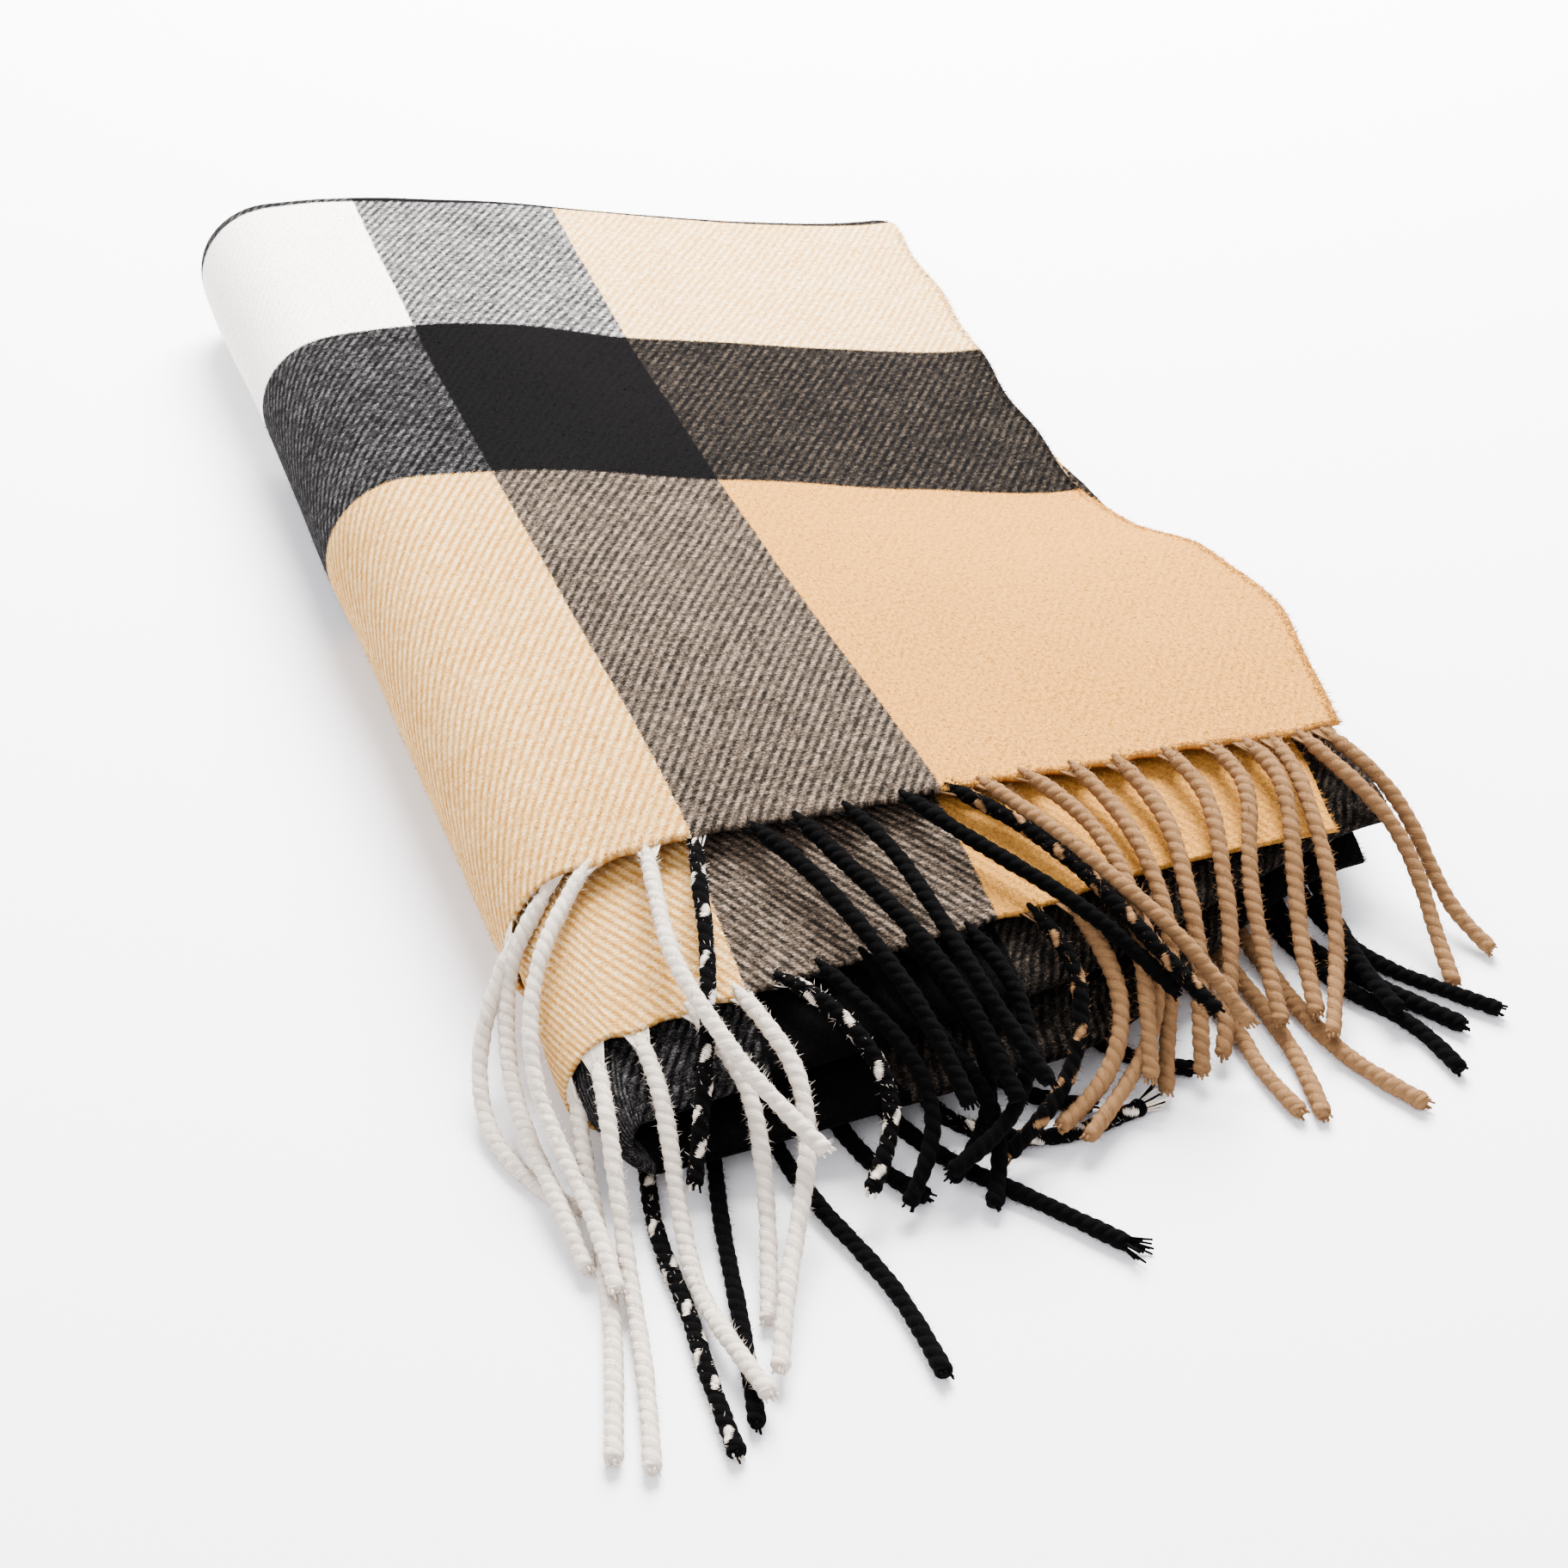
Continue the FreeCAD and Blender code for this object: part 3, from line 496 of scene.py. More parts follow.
class Nodes:
    """Short names for the few node kinds that the materials use."""

    def __init__(self, name):
        self.material = bpy.data.materials.new(name)
        self.material.use_nodes = True
        self.tree = self.material.node_tree
        self.shader = self.tree.nodes["Principled BSDF"]

    def add(self, kind, **settings):
        node = self.tree.nodes.new("ShaderNode" + kind)
        for key, value in settings.items():
            setattr(node, key, value)
        return node

    def feed(self, socket, value):
        if isinstance(value, bpy.types.NodeSocket):
            self.tree.links.new(value, socket)
        else:
            socket.default_value = value

    def feed_all(self, node, values):
        for name, value in values.items():
            self.feed(node.inputs[name], value)

    def math(self, operation, a, b=0.0, c=0.0):
        node = self.add("Math", operation=operation)
        for socket, value in zip(node.inputs, (a, b, c)):
            self.feed(socket, value)
        return node.outputs[0]

    def mix(self, factor, a, b, blend="MIX"):
        node = self.add("Mix", data_type="RGBA", blend_type=blend)
        self.feed(node.inputs[0], factor)
        self.feed(node.inputs[6], a)
        self.feed(node.inputs[7], b)
        return node.outputs[2]

    def fit(self, value, low, high, new_low, new_high):
        """Value moved from one range to another and held within it."""
        node = self.add("MapRange")
        for socket, item in zip(node.inputs, (value, low, high, new_low, new_high)):
            self.feed(socket, item)
        return node.outputs[0]

    def place(self):
        """The place on the piece's own layout, whole and as its two parts."""
        uv = self.add("UVMap", uv_map="fabric").outputs[0]
        parts = self.add("SeparateXYZ")
        self.feed(parts.inputs[0], uv)
        return uv, parts.outputs[0], parts.outputs[1]

    def join(self, *values):
        node = self.add("CombineXYZ")
        for socket, value in zip(node.inputs, values):
            self.feed(socket, value)
        return node.outputs[0]

    def noise(self, vector, scale, detail=2.0, roughness=0.5):
        node = self.add("TexNoise")
        self.feed_all(node, {"Vector": vector, "Scale": scale, "Detail": detail,
                             "Roughness": roughness})
        return node.outputs[0]

    def swing(self, *settings):
        """Noise to both sides of zero."""
        return self.math("SUBTRACT", self.noise(*settings), 0.5)

    def times(self, a, b):
        return self.math("MULTIPLY", a, b)

    def wave(self, value, repeat):
        """Sine of a value, both counted in yarns."""
        return self.math("SINE", self.times(value, 2.0 * math.pi / repeat))

    def moved(self, value, by, amount):
        """Value plus an amount of something else."""
        return self.math("MULTIPLY_ADD", by, amount, value)

    def channel(self, colour, index):
        node = self.add("SeparateColor")
        self.feed(node.inputs[0], colour)
        return node.outputs[index]

    def root_power(self, colour):
        """Undo the root that the stripes are mixed in."""
        node = self.add("Gamma")
        self.feed_all(node, {"Color": colour, "Gamma": ROOT})
        return node.outputs[0]

    def bands(self, value, span, bands):
        """Stripes across value, which is in metres; colours go in as a root."""
        node = self.add("ValToRGB")
        node.color_ramp.interpolation = "CONSTANT"
        low, length = span[0], span[1] - span[0]
        stops = node.color_ramp.elements
        while len(stops) < len(bands):
            stops.new(0.5)
        for stop, (start, colour) in zip(stops, bands):
            stop.position = max((start - low) / length, 0.0)
            stop.color = (*(level ** (1 / ROOT) for level in colour), 1.0)
        self.feed(node.inputs[0], self.fit(value, span[0] * MM, span[1] * MM, 0.0, 1.0))
        return node.outputs[0]


def wool_surface(nodes, colour, height, bump_distance):
    """Matt wool with a trace of sheen."""
    bump = nodes.add("Bump")
    nodes.feed_all(bump, {"Strength": 0.8, "Distance": bump_distance, "Height": height})
    nodes.feed_all(nodes.shader, {
        "Base Color": colour, "Roughness": 0.95, "Specular IOR Level": 0.01,
        "Sheen Weight": 0.008, "Sheen Roughness": 0.5, "Normal": bump.outputs[0]})
    return nodes.material


# Four warp yarns and four weft yarns make one repeat of the twill.
TWILL_REPEAT = 4
WARP_YARN = 0.9e-3
WEFT_YARN = 1.4e-3
# How far yarns stray from straight, their outlines from smooth and the stripes from sharp.
WARP_WANDER = 0.0011
WEFT_DRIFT = 0.0013
WARP_FUZZ = 0.0011
WEFT_FUZZ = -0.0014
WARP_STRAY = 0.0035
WEFT_STRAY = 0.0060
# Share of the weft on the face: a black one, a light one on black, and what that changes by
# on a light and on an ivory warp.
BLACK_WEFT = 0.80
LIGHT_WEFT = 0.495
ON_LIGHT_WARP = -0.07
ON_IVORY_WARP = 0.32


def twill(nodes, u_yarn, v_yarn):
    """Picks, ends, diagonal lines that climb one pick at a time, and a shade for each float."""
    picks = nodes.wave(v_yarn, 1)
    ends = nodes.wave(u_yarn, 1)
    diagonal = nodes.math("ADD", u_yarn, v_yarn)
    stair = nodes.moved(diagonal, picks, -0.14)
    line = nodes.wave(stair, TWILL_REPEAT)
    speck = nodes.add("TexWhiteNoise", noise_dimensions="2D")
    float_number = nodes.math("FLOOR", nodes.times(diagonal, 0.5))
    nodes.feed(speck.inputs["Vector"], nodes.join(float_number, nodes.math("FLOOR", v_yarn)))
    return picks, ends, line, nodes.math("SUBTRACT", speck.outputs["Value"], 0.5)


def cloth_material():
    """The check: light and black yarns that mingle in a brushed twill."""
    nodes = Nodes("brushed_check_twill")
    uv, u, v = nodes.place()
    wander = nodes.swing(uv, 130.0, 3.0)
    drift = nodes.swing(uv, 45.0, 2.0)
    fuzz = nodes.swing(uv, 900.0, 3.0, 0.6)
    stray = nodes.swing(uv, 1900.0, 2.0, 0.7)
    u_bent = nodes.math("ADD", u, nodes.times(wander, WARP_WANDER))
    v_bent = nodes.math("ADD", v, nodes.times(drift, WEFT_DRIFT))
    u_yarn = nodes.math("DIVIDE", nodes.moved(u_bent, fuzz, WARP_FUZZ), WARP_YARN)
    v_yarn = nodes.math("DIVIDE", nodes.moved(v_bent, fuzz, WEFT_FUZZ), WEFT_YARN)
    warp = nodes.bands(nodes.moved(u_bent, stray, WARP_STRAY), WARP_SPAN, WARP_BANDS)
    weft = nodes.bands(nodes.moved(v_bent, stray, WEFT_STRAY), WEFT_SPAN, WEFT_BANDS)
    picks, ends, line, speck = twill(nodes, u_yarn, v_yarn)
    # Brushed fibres lie along the weft.
    brushed = nodes.swing(nodes.join(nodes.times(u, 0.45), v), 2300.0, 4.0, 0.7)
    patches = nodes.swing(uv, 30.0, 3.0, 0.6)
    # How light the yarns are, read from the stripes' green, and how ivory, from their blue.
    weft_light = nodes.fit(nodes.channel(weft, 1), 0.45, 0.72, 0.0, 1.0)
    warp_light = nodes.fit(nodes.channel(warp, 1), 0.45, 0.72, 0.0, 1.0)
    warp_ivory = nodes.fit(nodes.channel(warp, 2), 0.65, 0.92, 0.0, 1.0)
    light_share = nodes.moved(LIGHT_WEFT, warp_light, ON_LIGHT_WARP)
    light_share = nodes.moved(light_share, warp_ivory, ON_IVORY_WARP)
    share = nodes.moved(BLACK_WEFT, weft_light, nodes.math("SUBTRACT", light_share, BLACK_WEFT))
    for detail, amount in ((line, 0.14), (picks, 0.03), (speck, 0.25), (brushed, 1.6),
                           (patches, 0.16)):
        share = nodes.moved(share, detail, amount)
    share = nodes.math("MINIMUM", nodes.math("MAXIMUM", share, 0.0), 1.0)
    colour = nodes.root_power(nodes.mix(share, warp, weft))
    # Where light and black yarns mingle the colour greys.
    contrast = nodes.math("ABSOLUTE", nodes.math("SUBTRACT", weft_light, warp_light))
    dull = nodes.add("HueSaturation")
    nodes.feed_all(dull, {"Saturation": nodes.moved(1.0, contrast, -0.45), "Color": colour})
    # Painted shade: the grooves between the lines are darker, deepest where colours cross.  They
    # lie on the warp, but on the weft where pale is 1: a camel weft that crosses an ivory warp.
    weft_not_ivory = nodes.fit(nodes.channel(weft, 2), 0.65, 0.92, 1.0, 0.0)
    pale = nodes.times(nodes.times(warp_ivory, weft_light), weft_not_ivory)
    depth = nodes.moved(nodes.moved(0.05, pale, 0.20), contrast, 0.14)
    low = nodes.times(line, nodes.moved(1.0, pale, -2.0))
    groove_shade = nodes.times(nodes.fit(low, -1.0, 0.2, -1.0, 0.1), depth)
    groove_shade = nodes.math("ADD", groove_shade, 1.0)
    # The nap's noise is tone that differs at random and painted light and shade where its raised fibres
    # catch the light.
    nap = nodes.noise(nodes.join(u, nodes.times(v, 0.6)), 850.0, 4.0, 0.8)
    nap_gain = nodes.moved(2.6, warp_ivory, -1.3)
    nap_shade = nodes.moved(0.96, nodes.math("SUBTRACT", nap, 0.5), nap_gain)
    shade = nodes.times(groove_shade, nap_shade)
    # Painted shade between the picks.
    shade = nodes.times(shade, nodes.moved(0.98, picks, 0.04))
    colour = nodes.mix(1.0, dull.outputs[0], nodes.join(shade, shade, shade), "MULTIPLY")
    height = nodes.moved(nap, line, 0.25)
    height = nodes.moved(height, nodes.math("MAXIMUM", picks, ends), 0.08)
    return wool_surface(nodes, colour, height, 0.0006)


def fringe_material(name, tint):
    """Fine yarns that run along the plies of a tassel, with painted shade between them."""
    nodes = Nodes(name)
    _, along, round_it = nodes.place()
    drawn = nodes.join(nodes.times(along, 150.0), nodes.times(round_it, 1500.0))
    yarns = nodes.noise(drawn, 1.0, 3.0, 0.6)
    blotch = nodes.noise(nodes.join(along, round_it), 90.0, 2.0)
    # Painted shade between the fine yarns, and blotches of tone that differ at random.
    shade = nodes.times(nodes.fit(yarns, 0.25, 0.75, 0.60, 1.12),
                        nodes.fit(blotch, 0.25, 0.75, 0.93, 1.03))
    colour = nodes.mix(1.0, (*tint, 1.0), nodes.join(shade, shade, shade), "MULTIPLY")
    return wool_surface(nodes, colour, yarns, 0.0005)


CLOTH = cloth_material()
YARN_TINTS = {"ivory": YARN_IVORY, "camel": YARN_CAMEL, "black": BLACK}
YARNS = {kind: fringe_material(kind + "_fringe_yarn", tint) for kind, tint in YARN_TINTS.items()}


# -------------------- the cloth
def build_cloth():
    """Both faces of the cloth and the rim that closes them."""
    count_rows, count_columns = ROWS.shape[:2]
    half = GAUGE / 2
    vertices = np.concatenate([(ROWS + NORMALS * half).reshape(-1, 3),
                               (ROWS - NORMALS * half).reshape(-1, 3)])
    uvs = np.concatenate([PLACES.reshape(-1, 2)] * 2)
    size = count_rows * count_columns
    index = np.arange(size).reshape(count_rows, count_columns)
    a, b = index[:-1, :-1].ravel(), index[:-1, 1:].ravel()
    c, d = index[1:, 1:].ravel(), index[1:, :-1].ravel()
    border = np.concatenate([index[0, :-1], index[:-1, -1], index[-1, :0:-1], index[:0:-1, 0]])
    after = np.roll(border, -1)
    faces = np.concatenate([np.stack([a, d, c, b], -1), np.stack([a, b, c, d], -1) + size,
                            np.stack([border, after, after + size, border + size], -1)])
    return make_mesh("throw_cloth", vertices, [faces], [uvs[faces]], [CLOTH])


cloth = build_cloth()
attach(cloth, "root")

# -------------------- the fringe
TASSEL_WIDTH = 5.4
# Length of one turn of the twist.
LAY = 7.8
# Two plies side by side: their distance from the centre and their radius, as shares of half
# the tassel's width.
PLY_OFFSET = 0.13
PLY_RADIUS = 0.86
ROUND_STEPS = 24
RING_SPACING = 0.5
# Thickness along a tassel: at runs from its root, at runs back from its tip, and its share.
TAPER_FROM_ROOT = [0, 3, 9]
TAPER_FROM_TIP = [6, 1.2, 0]
TAPER = [0.30, 0.55, 1.0, 1.0, 1.08, 0.92]
# In a pied tassel a light yarn surfaces as slanting oval flecks, each turned from the last.
FLECK_SPACING = 6.0
FLECK_SHIFT = 1.3
FLECK_TURN = 2.4
FLECK_SLANT = (0.87, 0.5)
FLECK_HALF_LENGTH = 3.1
FLECK_HALF_WIDTH = 1.25
# Yarns at the root, loose ends at the tip and hairs all along.
ROOT_SPREAD = 4.2
ROOT_YARNS = 15
ROOT_YARN_WIDTH = 0.75
TIED_RING = 18
TIP_YARN_WIDTH = 0.85
HAIRS_PER_LENGTH = 11.0
HAIR_WIDTH = 0.19
# Shares of the two plies' colours in the hairs.
HAIR_SHARES = [0.2, 0.8]
# Pied tassels whose light yarn is camel, and tassels whose twist has come undone at the tip.
CAMEL_PIED = {"outer_pied_2", "inner_pied_2"}
FRAYED = {"lower_black_3", "lower_pied_2"}


def route_line(name, points):
    """Points of the smooth NURBS line that the route's points control, in millimetres."""
    data = bpy.data.curves.new(name, "CURVE")
    data.dimensions = "3D"
    data.resolution_u = 14
    spline = data.splines.new("NURBS")
    spline.points.add(len(points) - 1)
    for knot, point in zip(spline.points, points):
        knot.co = (*point, 1.0)
    spline.order_u = 3
    spline.use_endpoint_u = True
    holder = in_scene(name, data)
    bpy.context.view_layer.update()
    line = bpy.data.meshes.new_from_object(holder)
    places = np.array([vertex.co for vertex in line.vertices]) / MM
    bpy.data.objects.remove(holder)
    bpy.data.curves.remove(data)
    bpy.data.meshes.remove(line)
    return places


def run_along(line):
    """Length run up to each point of a line."""
    steps = np.linalg.norm(np.diff(line, axis=0), axis=1)
    return np.concatenate([[0.0], np.cumsum(steps)])


def part_way(at, run, values):
    """A line's values at given lengths along it."""
    return np.stack([np.interp(at, run, values[:, k]) for k in range(3)], -1)


def even_stations(places):
    """Evenly spaced stations of a line: run, point, heading and two directions across."""
    run = run_along(places)
    at = np.linspace(0.0, run[-1], max(int(run[-1] / RING_SPACING), 4) + 1)
    line = part_way(at, run, places)
    heading = unit(np.gradient(line, axis=0))
    side = np.cross(heading[0], [0.0, 0.0, 1.0])
    sides = []
    for direction in heading:
        side = side - direction * np.dot(side, direction)
        side = side / np.linalg.norm(side)
        sides.append(side)
    sides = np.array(sides)
    return at, line, heading, sides, np.cross(heading, sides)


def tube_faces(rings, around):
    """Quads between a tube's rings and the fans that close it; its two tips come last."""
    i = np.arange(around)
    j = np.roll(i, -1)
    low = np.arange(rings - 1)[:, None] * around
    high = low + around
    quads = np.stack([low + i, low + j, high + j, high + i], -1).reshape(-1, 4)
    tip, top = rings * around, (rings - 1) * around
    caps = np.concatenate([np.stack([np.full_like(i, tip), j, i], -1),
                           np.stack([np.full_like(i, tip + 1), top + i, top + j], -1)])
    return quads, caps


def flecks(at, spin, width, start_angle):
    """True for each face of a pied twist that a light yarn covers."""
    turn = (spin[:-1] + spin[1:]) / 2 + math.pi / ROUND_STEPS
    light = np.zeros(turn.shape, bool)
    a, b = FLECK_SLANT
    for n, centre in enumerate(np.arange(4.0, at[-1] - 3.0, FLECK_SPACING)):
        ahead = (at[:-1, None] + RING_SPACING / 2 - centre
                 - FLECK_SHIFT * math.sin(2.1 * n + start_angle))
        beside = (turn - start_angle - FLECK_TURN * n + math.pi) % (2 * math.pi) - math.pi
        beside = beside * width / 2
        light |= (((a * ahead + b * beside) / FLECK_HALF_LENGTH) ** 2
                  + ((a * beside - b * ahead) / FLECK_HALF_WIDTH) ** 2) < 1.0
    return light


def rope(stations, width, lay, start_angle, pied):
    """A two-ply twist along a line: vertices, faces, uvs and the ply of each face."""
    at, line, heading, sides, ups = stations
    length, rings = at[-1], len(at)
    angles = np.linspace(0, 2 * math.pi, ROUND_STEPS, endpoint=False)
    profile = (PLY_OFFSET * np.abs(np.cos(angles))
               + np.sqrt(PLY_RADIUS ** 2 - (PLY_OFFSET * np.sin(angles)) ** 2))
    tapered = TAPER_FROM_ROOT + [length - back for back in TAPER_FROM_TIP]
    radius = width / 2 * np.interp(at, tapered, TAPER)
    radius = radius * (1 + 0.06 * np.sin(at / 7.3 + start_angle) * np.sin(at / 3.1))
    spin = angles[None, :] - 2 * math.pi * at[:, None] / lay + start_angle
    ring = np.cos(spin)[..., None] * sides[:, None] + np.sin(spin)[..., None] * ups[:, None]
    body = line[:, None] + ring * (profile[None, :] * radius[:, None])[..., None]
    tips = [line[0] - heading[0] * 0.6, line[-1] + heading[-1] * 0.5]
    vertices = np.concatenate([body.reshape(-1, 3), tips])
    quads, caps = tube_faces(rings, ROUND_STEPS)
    k, i = np.divmod(np.arange(len(quads)), ROUND_STEPS)
    step = 2 * math.pi / ROUND_STEPS * width / 2
    runs = at[np.stack([k, k, k + 1, k + 1], -1)]
    quad_uvs = np.stack([runs, np.stack([i, i + 1, i + 1, i], -1) * step], -1)
    cap_uvs = np.zeros((len(caps), 3, 2))
    cap_uvs[:, :, 1] = (caps % ROUND_STEPS) * step
    plies = np.zeros((rings - 1, ROUND_STEPS), int)
    if pied:
        plies = (~flecks(at, spin, width, start_angle)).astype(int)
    plies = np.concatenate([plies.ravel(), plies[0], plies[-1]])
    return vertices, [quads, caps], [quad_uvs, cap_uvs], plies


def across(along, axis):
    """Two unit directions across each of many; no yarn runs along the axis."""
    one = unit(np.cross(along, axis))
    return one, unit(np.cross(along, one))


def strand(start, control, end, thickness, steps=5):
    """A thin bent yarn as a closed six-sided tube."""
    f = np.linspace(0, 1, steps + 1)[:, None]
    centre = start * (1 - f) ** 2 + control * 2 * f * (1 - f) + end * f * f
    one, two = across(np.gradient(centre, axis=0), [0.3, 0.2, 1.0])
    turn = np.linspace(0, 2 * math.pi, 6, endpoint=False)
    size = thickness / 2 * (1.0 - 0.2 * f)
    rings = (centre[:, None] + (np.cos(turn)[None, :, None] * one[:, None]
                                + np.sin(turn)[None, :, None] * two[:, None]) * size[:, None])
    vertices = np.concatenate([rings.reshape(-1, 3), [centre[0], centre[-1]]])
    return vertices, tube_faces(steps + 1, 6)


def fibres(starts, ends, thickness):
    """Loose fibres as slender closed pyramids, all at once."""
    one, two = across(ends - starts, [0.31, 0.17, 0.93])
    half = thickness / 2
    vertices = np.stack([starts + one * half, starts - one * half / 2 + two * half,
                         starts - one * half / 2 - two * half, ends], 1)
    first = np.arange(len(starts))[:, None, None] * 4
    faces = first + np.array([[0, 1, 3], [1, 2, 3], [2, 0, 3], [0, 2, 1]])
    return vertices.reshape(-1, 3), faces.reshape(-1, 3)


class Parts:
    """Gathers vertices, faces, corner uvs and material numbers of one piece."""

    def __init__(self):
        self.vertices, self.faces, self.uvs, self.materials = [], [], [], []
        self.count = 0

    def add(self, vertices, faces, uvs, materials):
        self.vertices.append(vertices)
        self.faces += [block + self.count for block in faces]
        self.uvs += uvs
        self.materials.append(materials)
        self.count += len(vertices)

    def add_strand(self, tube, place, number):
        vertices, faces = tube
        uvs = [np.broadcast_to(place, (*block.shape, 2)) for block in faces]
        self.add(vertices, faces, uvs, np.full(sum(len(block) for block in faces), number))


def cloth_end(point):
    """The cloth's end row nearest to a root: points by run along the row, and the way out."""
    best = min((0, -1), key=lambda row: np.linalg.norm(ROWS[row] - point, axis=1).min())
    edge = ROWS[best]
    outward = unit(edge - ROWS[1 if best == 0 else -2])
    run = run_along(edge)
    here = run[np.linalg.norm(edge - point, axis=1).argmin()]

    def at(offset):
        spot = np.clip(here + offset, 0.0, run[-1])
        return part_way(spot, run, edge), part_way(spot, run, outward)
    return at


def add_root(parts, rng, stations, numbers):
    """Warp yarns that leave the cloth side by side and run together into the twist."""
    _, centre, _, _, ups = stations
    end_at = cloth_end(centre[0])
    middle = end_at(0.0)[0]
    tied = centre[min(TIED_RING, len(centre) - 1)]
    for offset in np.linspace(-ROOT_SPREAD, ROOT_SPREAD, ROOT_YARNS):
        start, outward = end_at(offset)
        join = tied + (start - middle) * 0.22 + ups[0] * rng.uniform(-0.8, 0.9)
        bend = start * 0.5 + tied * 0.5 + outward * 0.8 + (start - middle) * 0.12
        parts.add_strand(strand(start - outward * 2.0, bend, join, ROOT_YARN_WIDTH),
                         (offset * 3.0, offset), int(rng.choice(numbers)))


def add_tip(parts, rng, stations, width, frayed, numbers):
    """Short loose yarn ends, longer where the twist has come undone."""
    _, centre, heading, sides, ups = stations
    for _ in range(16 if frayed else 7):
        turn = rng.uniform(0, 2 * math.pi)
        out = sides[-1] * math.cos(turn) + ups[-1] * math.sin(turn)
        reach = rng.uniform(3.0, 7.5) if frayed else rng.uniform(0.8, 2.2)
        start = centre[-1] - heading[-1] * 1.5 + out * width * 0.25
        end = centre[-1] + heading[-1] * reach + out * rng.uniform(0.8, 1.6) * (1 + 0.3 * reach)
        end[2] = max(end[2], 0.5)
        bend = (start + end) / 2 + heading[-1] * 0.4
        parts.add_strand(strand(start, bend, end, TIP_YARN_WIDTH, 3),
                         (turn * 3.0, turn), int(rng.choice(numbers)))


def add_hairs(parts, rng, stations, width, numbers):
    """Fibres that stand off the twist."""
    at, centre, heading, sides, ups = stations
    count = int(at[-1] * HAIRS_PER_LENGTH)
    n = rng.integers(1, len(at) - 1, count)
    turn = rng.uniform(0, 2 * math.pi, count)
    out = sides[n] * np.cos(turn)[:, None] + ups[n] * np.sin(turn)[:, None]
    starts = centre[n] + out * width * 0.40
    reach = rng.exponential(0.75, count)[:, None] + 0.2
    ends = (starts + out * np.minimum(reach, 2.6)
            + heading[n] * rng.uniform(-1.8, 1.8, count)[:, None]
            + np.cross(heading[n], out) * rng.uniform(-1.4, 1.4, count)[:, None])
    ends[:, 2] = np.maximum(ends[:, 2], 0.3)
    vertices, faces = fibres(starts, ends, HAIR_WIDTH)
    places = np.repeat(np.stack([at[n], turn], -1), 4, axis=0)[:, None]
    parts.add(vertices, [faces], [np.broadcast_to(places, (len(faces), 3, 2))],
              np.repeat(rng.choice(numbers, count, p=HAIR_SHARES), 4))


def make_tassel(name, points):
    """One tassel, its rng seeded by its name: the twist, its root, its tip and its hairs."""
    rng = np.random.default_rng(sum(ord(letter) for letter in name))
    kind = name.split("_")[1]
    light = "camel" if name in CAMEL_PIED else "ivory"
    colours = (light, "black") if kind == "pied" else (kind, kind)
    slots = list(dict.fromkeys(colours))
    numbers = [slots.index(colour) for colour in colours]
    parts = Parts()
    width = TASSEL_WIDTH * rng.uniform(0.94, 1.04)
    stations = even_stations(route_line(name, points))
    lay = LAY * rng.uniform(0.93, 1.07)
    start_angle = rng.uniform(0, 2 * math.pi)
    vertices, faces, uvs, plies = rope(stations, width, lay, start_angle, kind == "pied")
    parts.add(vertices, faces, uvs, np.array(numbers)[plies])
    add_root(parts, rng, stations, numbers)
    add_tip(parts, rng, stations, width, name in FRAYED, numbers)
    add_hairs(parts, rng, stations, width, numbers)
    piece = make_mesh("fringe_" + name, np.concatenate(parts.vertices), parts.faces, parts.uvs,
                      [YARNS[colour] for colour in slots], np.concatenate(parts.materials))
    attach(piece, "root")
    return piece


tassels = []
for name, points in TASSELS.items():
    tassels.append(make_tassel(name, points))
    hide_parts("tassel_" + name)
tangle = [make_tassel(name, points) for name, points in TANGLE.items()]
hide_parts(TANGLE_NODE)
tassels += tangle

# -------------------- the nap
NAP_WIDTH = 0.20
SELVEDGE_FIBRES = 5000


def scatter(row_low, row_high, column_low, column_high, count):
    """Random spots on the outer side of the cloth: point, normal, two directions, place."""
    r = RANDOM.uniform(row_low, row_high, count)
    c = RANDOM.uniform(column_low, column_high, count)
    r0, c0 = r.astype(int), c.astype(int)
    fr, fc = (r - r0)[:, None], (c - c0)[:, None]

    def at(grid):
        return ((grid[r0, c0] * (1 - fc) + grid[r0, c0 + 1] * fc) * (1 - fr)
                + (grid[r0 + 1, c0] * (1 - fc) + grid[r0 + 1, c0 + 1] * fc) * fr)
    weftwise = unit(ROWS[r0, c0 + 1] - ROWS[r0, c0])
    warpwise = unit(ROWS[r0 + 1, c0] - ROWS[r0, c0])
    return at(ROWS), at(NORMALS), weftwise, warpwise, at(PLACES)


def nap_fibres(spots, rise, reach):
    """Short fibres that lie over, mostly along the weft."""
    point, normal, weftwise, warpwise, place = spots
    count = len(point)
    starts = point + normal * (GAUGE / 2 - 0.05)
    ends = (starts + normal * RANDOM.uniform(*rise, count)[:, None]
            + weftwise * RANDOM.uniform(-reach, reach, count)[:, None]
            + warpwise * RANDOM.uniform(-0.6, 0.6, count)[:, None] * reach)
    ends[:, 2] = np.maximum(ends[:, 2], 0.2)
    return starts, ends, place


def selvedge_fibres(column, inward):
    """Fibres that stick out sideways along a selvedge of every layer."""
    r = RANDOM.integers(0, len(ROWS), SELVEDGE_FIBRES)
    outward = unit(ROWS[r, column] - ROWS[r, inward])
    starts = ROWS[r, column] - outward * 0.4
    starts = starts + RANDOM.uniform(-0.8, 0.8, (SELVEDGE_FIBRES, 3))
    ends = starts + outward * RANDOM.uniform(0.6, 2.2, SELVEDGE_FIBRES)[:, None]
    ends = ends + RANDOM.uniform(-0.9, 0.9, (SELVEDGE_FIBRES, 3))
    starts[:, 2] = np.maximum(starts[:, 2], 0.2)
    ends[:, 2] = np.maximum(ends[:, 2], 0.2)
    return starts, ends, PLACES[r, column]


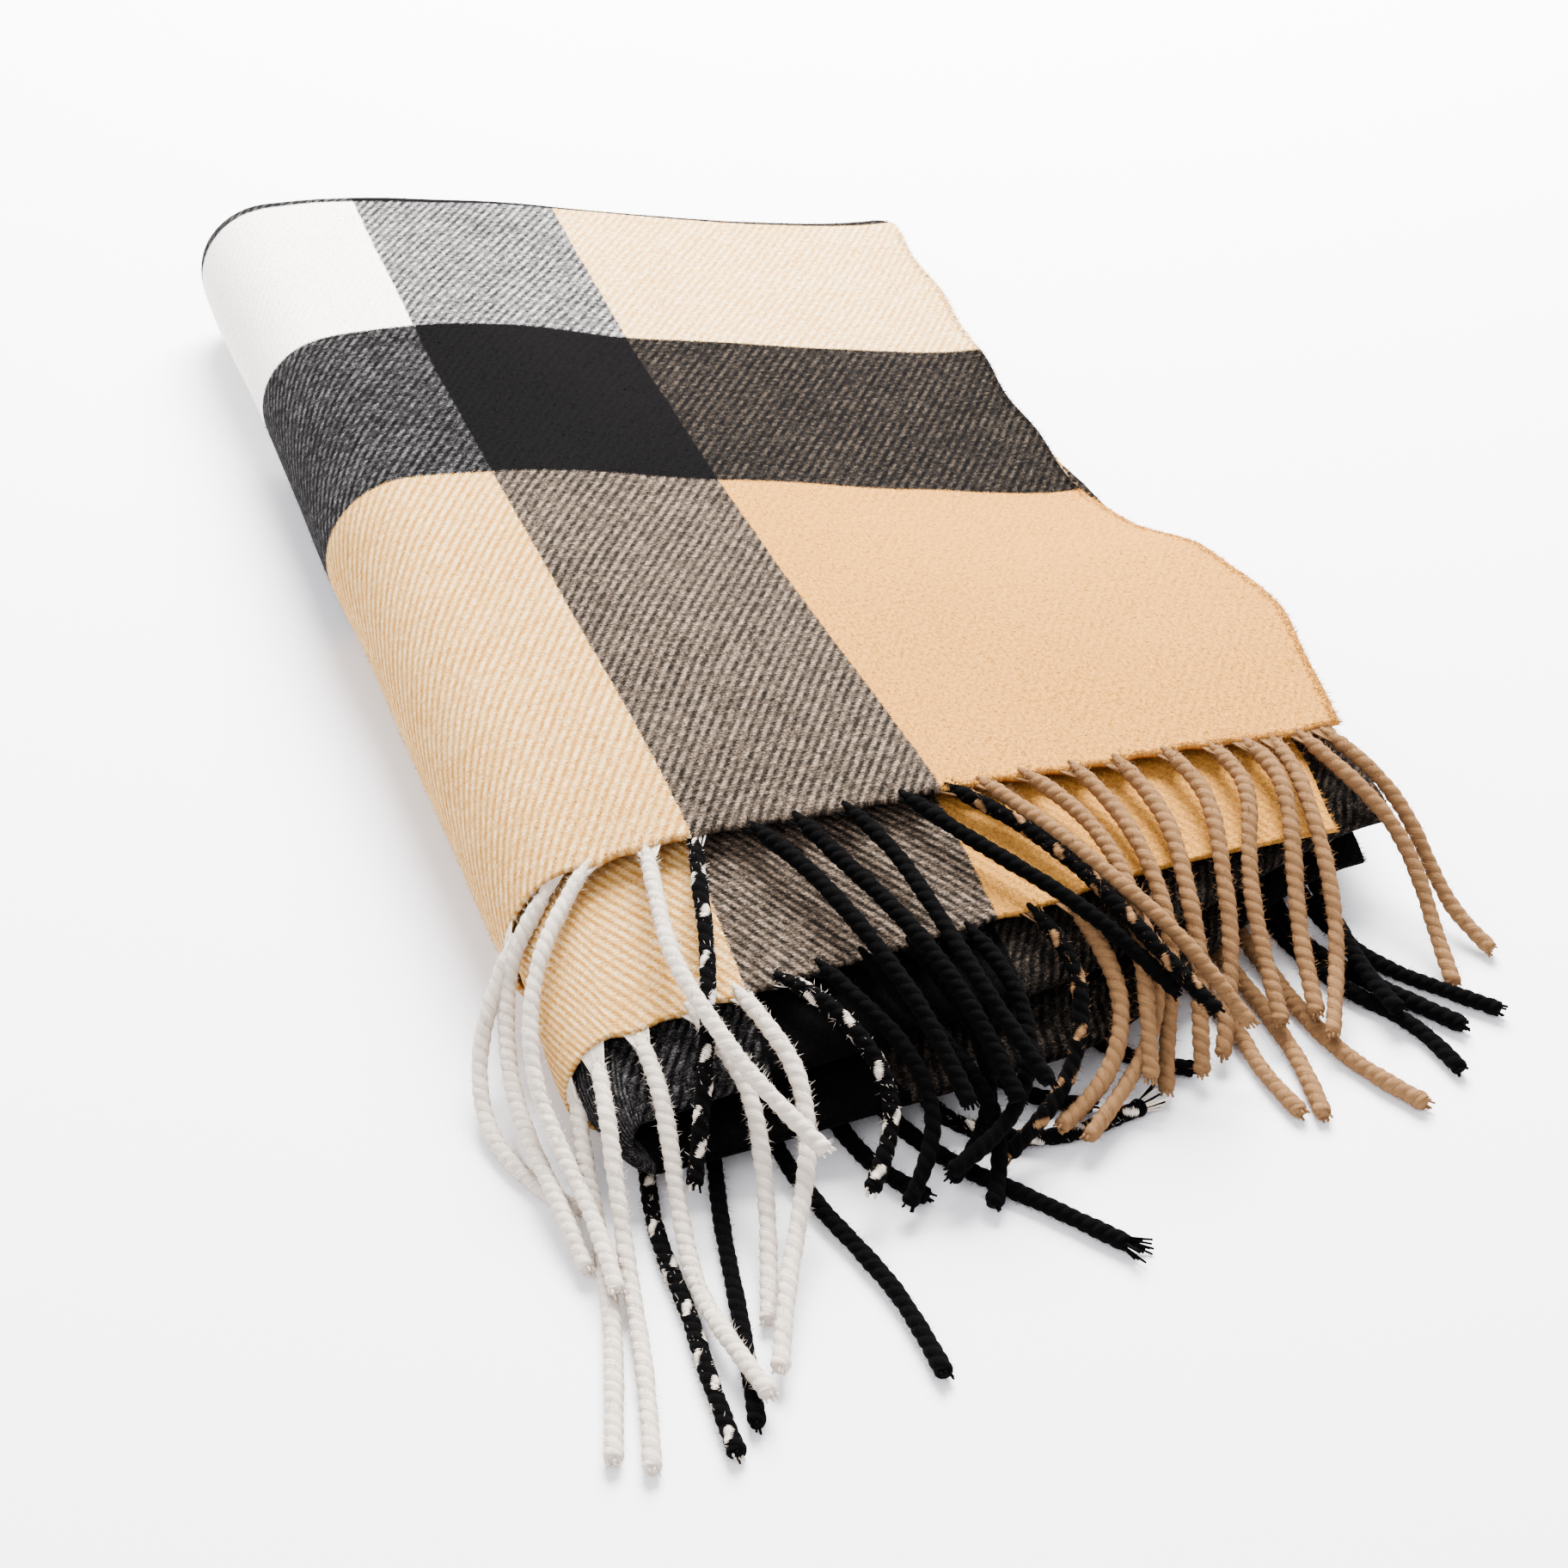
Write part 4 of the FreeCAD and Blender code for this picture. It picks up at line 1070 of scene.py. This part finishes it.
def build_nap():
    """The raised nap of the faces, the folds, the ends and the selvedges."""
    last_row, last_column = len(ROWS) - 2, len(COLUMNS) - 2
    face = RUNS[0][1] - 1
    far_fold = RUNS[0][1] + RUNS[1][1]
    upper = UPPER_COLUMNS
    book = UPPER_COLUMNS + BOOK_COLUMNS - 1
    # Rows and columns of the cloth, number of fibres, their rise and their reach.
    stretches = [
        (0, face, 0, upper, 16000, (0.2, 1.0), 1.6),
        (0, face, upper, book, 4000, (0.3, 1.3), 1.3),
        (0, 1.5, 0, upper, 2500, (0.1, 1.2), 1.6),
        (0, face, 0, 1.0, 3000, (0.1, 1.3), 1.8),
        (face, far_fold, 0, last_column, 3500, (0.2, 1.1), 1.2),
        (last_row - 1, last_row, 0, upper, 1500, (0.1, 1.2), 1.6),
    ]
    groups = [nap_fibres(scatter(*where), rise, reach) for *where, rise, reach in stretches]
    groups += [selvedge_fibres(0, 1), selvedge_fibres(last_column + 1, last_column)]
    starts, ends, places = (np.concatenate(kind) for kind in zip(*groups))
    vertices, faces = fibres(starts, ends, NAP_WIDTH)
    uvs = np.broadcast_to(np.repeat(places, 4, axis=0)[:, None], (len(faces), 3, 2))
    return make_mesh("throw_nap", vertices, [faces], [uvs], [CLOTH])


nap = build_nap()
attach(nap, "root")

CLOTH_NODES = [run + side for run, _, _ in RUNS for side in ("_upper", "_book", "_lower")]
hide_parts(*CLOTH_NODES)

# -------------------- floor and light
FLOOR_HALF = 6.0


def build_floor():
    mesh = bpy.data.meshes.new("floor")
    corners = ((-1, -1), (1, -1), (1, 1), (-1, 1))
    mesh.from_pydata([(x * FLOOR_HALF, y * FLOOR_HALF, 0) for x, y in corners], [],
                     [(0, 1, 2, 3)])
    look = Nodes("pale_floor")
    look.feed_all(look.shader, {"Base Color": (0.92, 0.92, 0.94, 1.0), "Roughness": 0.7,
                                "Specular IOR Level": 0.1})
    mesh.materials.append(look.material)
    return in_scene("floor", mesh)


def build_air():
    """Even light from all round."""
    world = bpy.data.worlds.new("studio")
    bpy.context.scene.world = world
    world.use_nodes = True
    background = world.node_tree.nodes["Background"]
    background.inputs["Color"].default_value = (0.95, 0.93, 1.0, 1.0)
    background.inputs["Strength"].default_value = 1.6


def softbox(name, place, size, power):
    """A square light that faces the object."""
    light = bpy.data.lights.new(name, "AREA")
    light.shape = "SQUARE"
    light.size = size
    light.energy = power
    lamp = in_scene(name, light)
    lamp.location = place
    lamp.rotation_euler = (-Vector(place)).to_track_quat("-Z", "Y").to_euler()


floor = build_floor()
build_air()
softbox("key", place=(0.40, 0.95, 1.15), size=1.0, power=265.0)
softbox("fill", place=(-1.2, -0.9, 1.5), size=1.4, power=26.0)
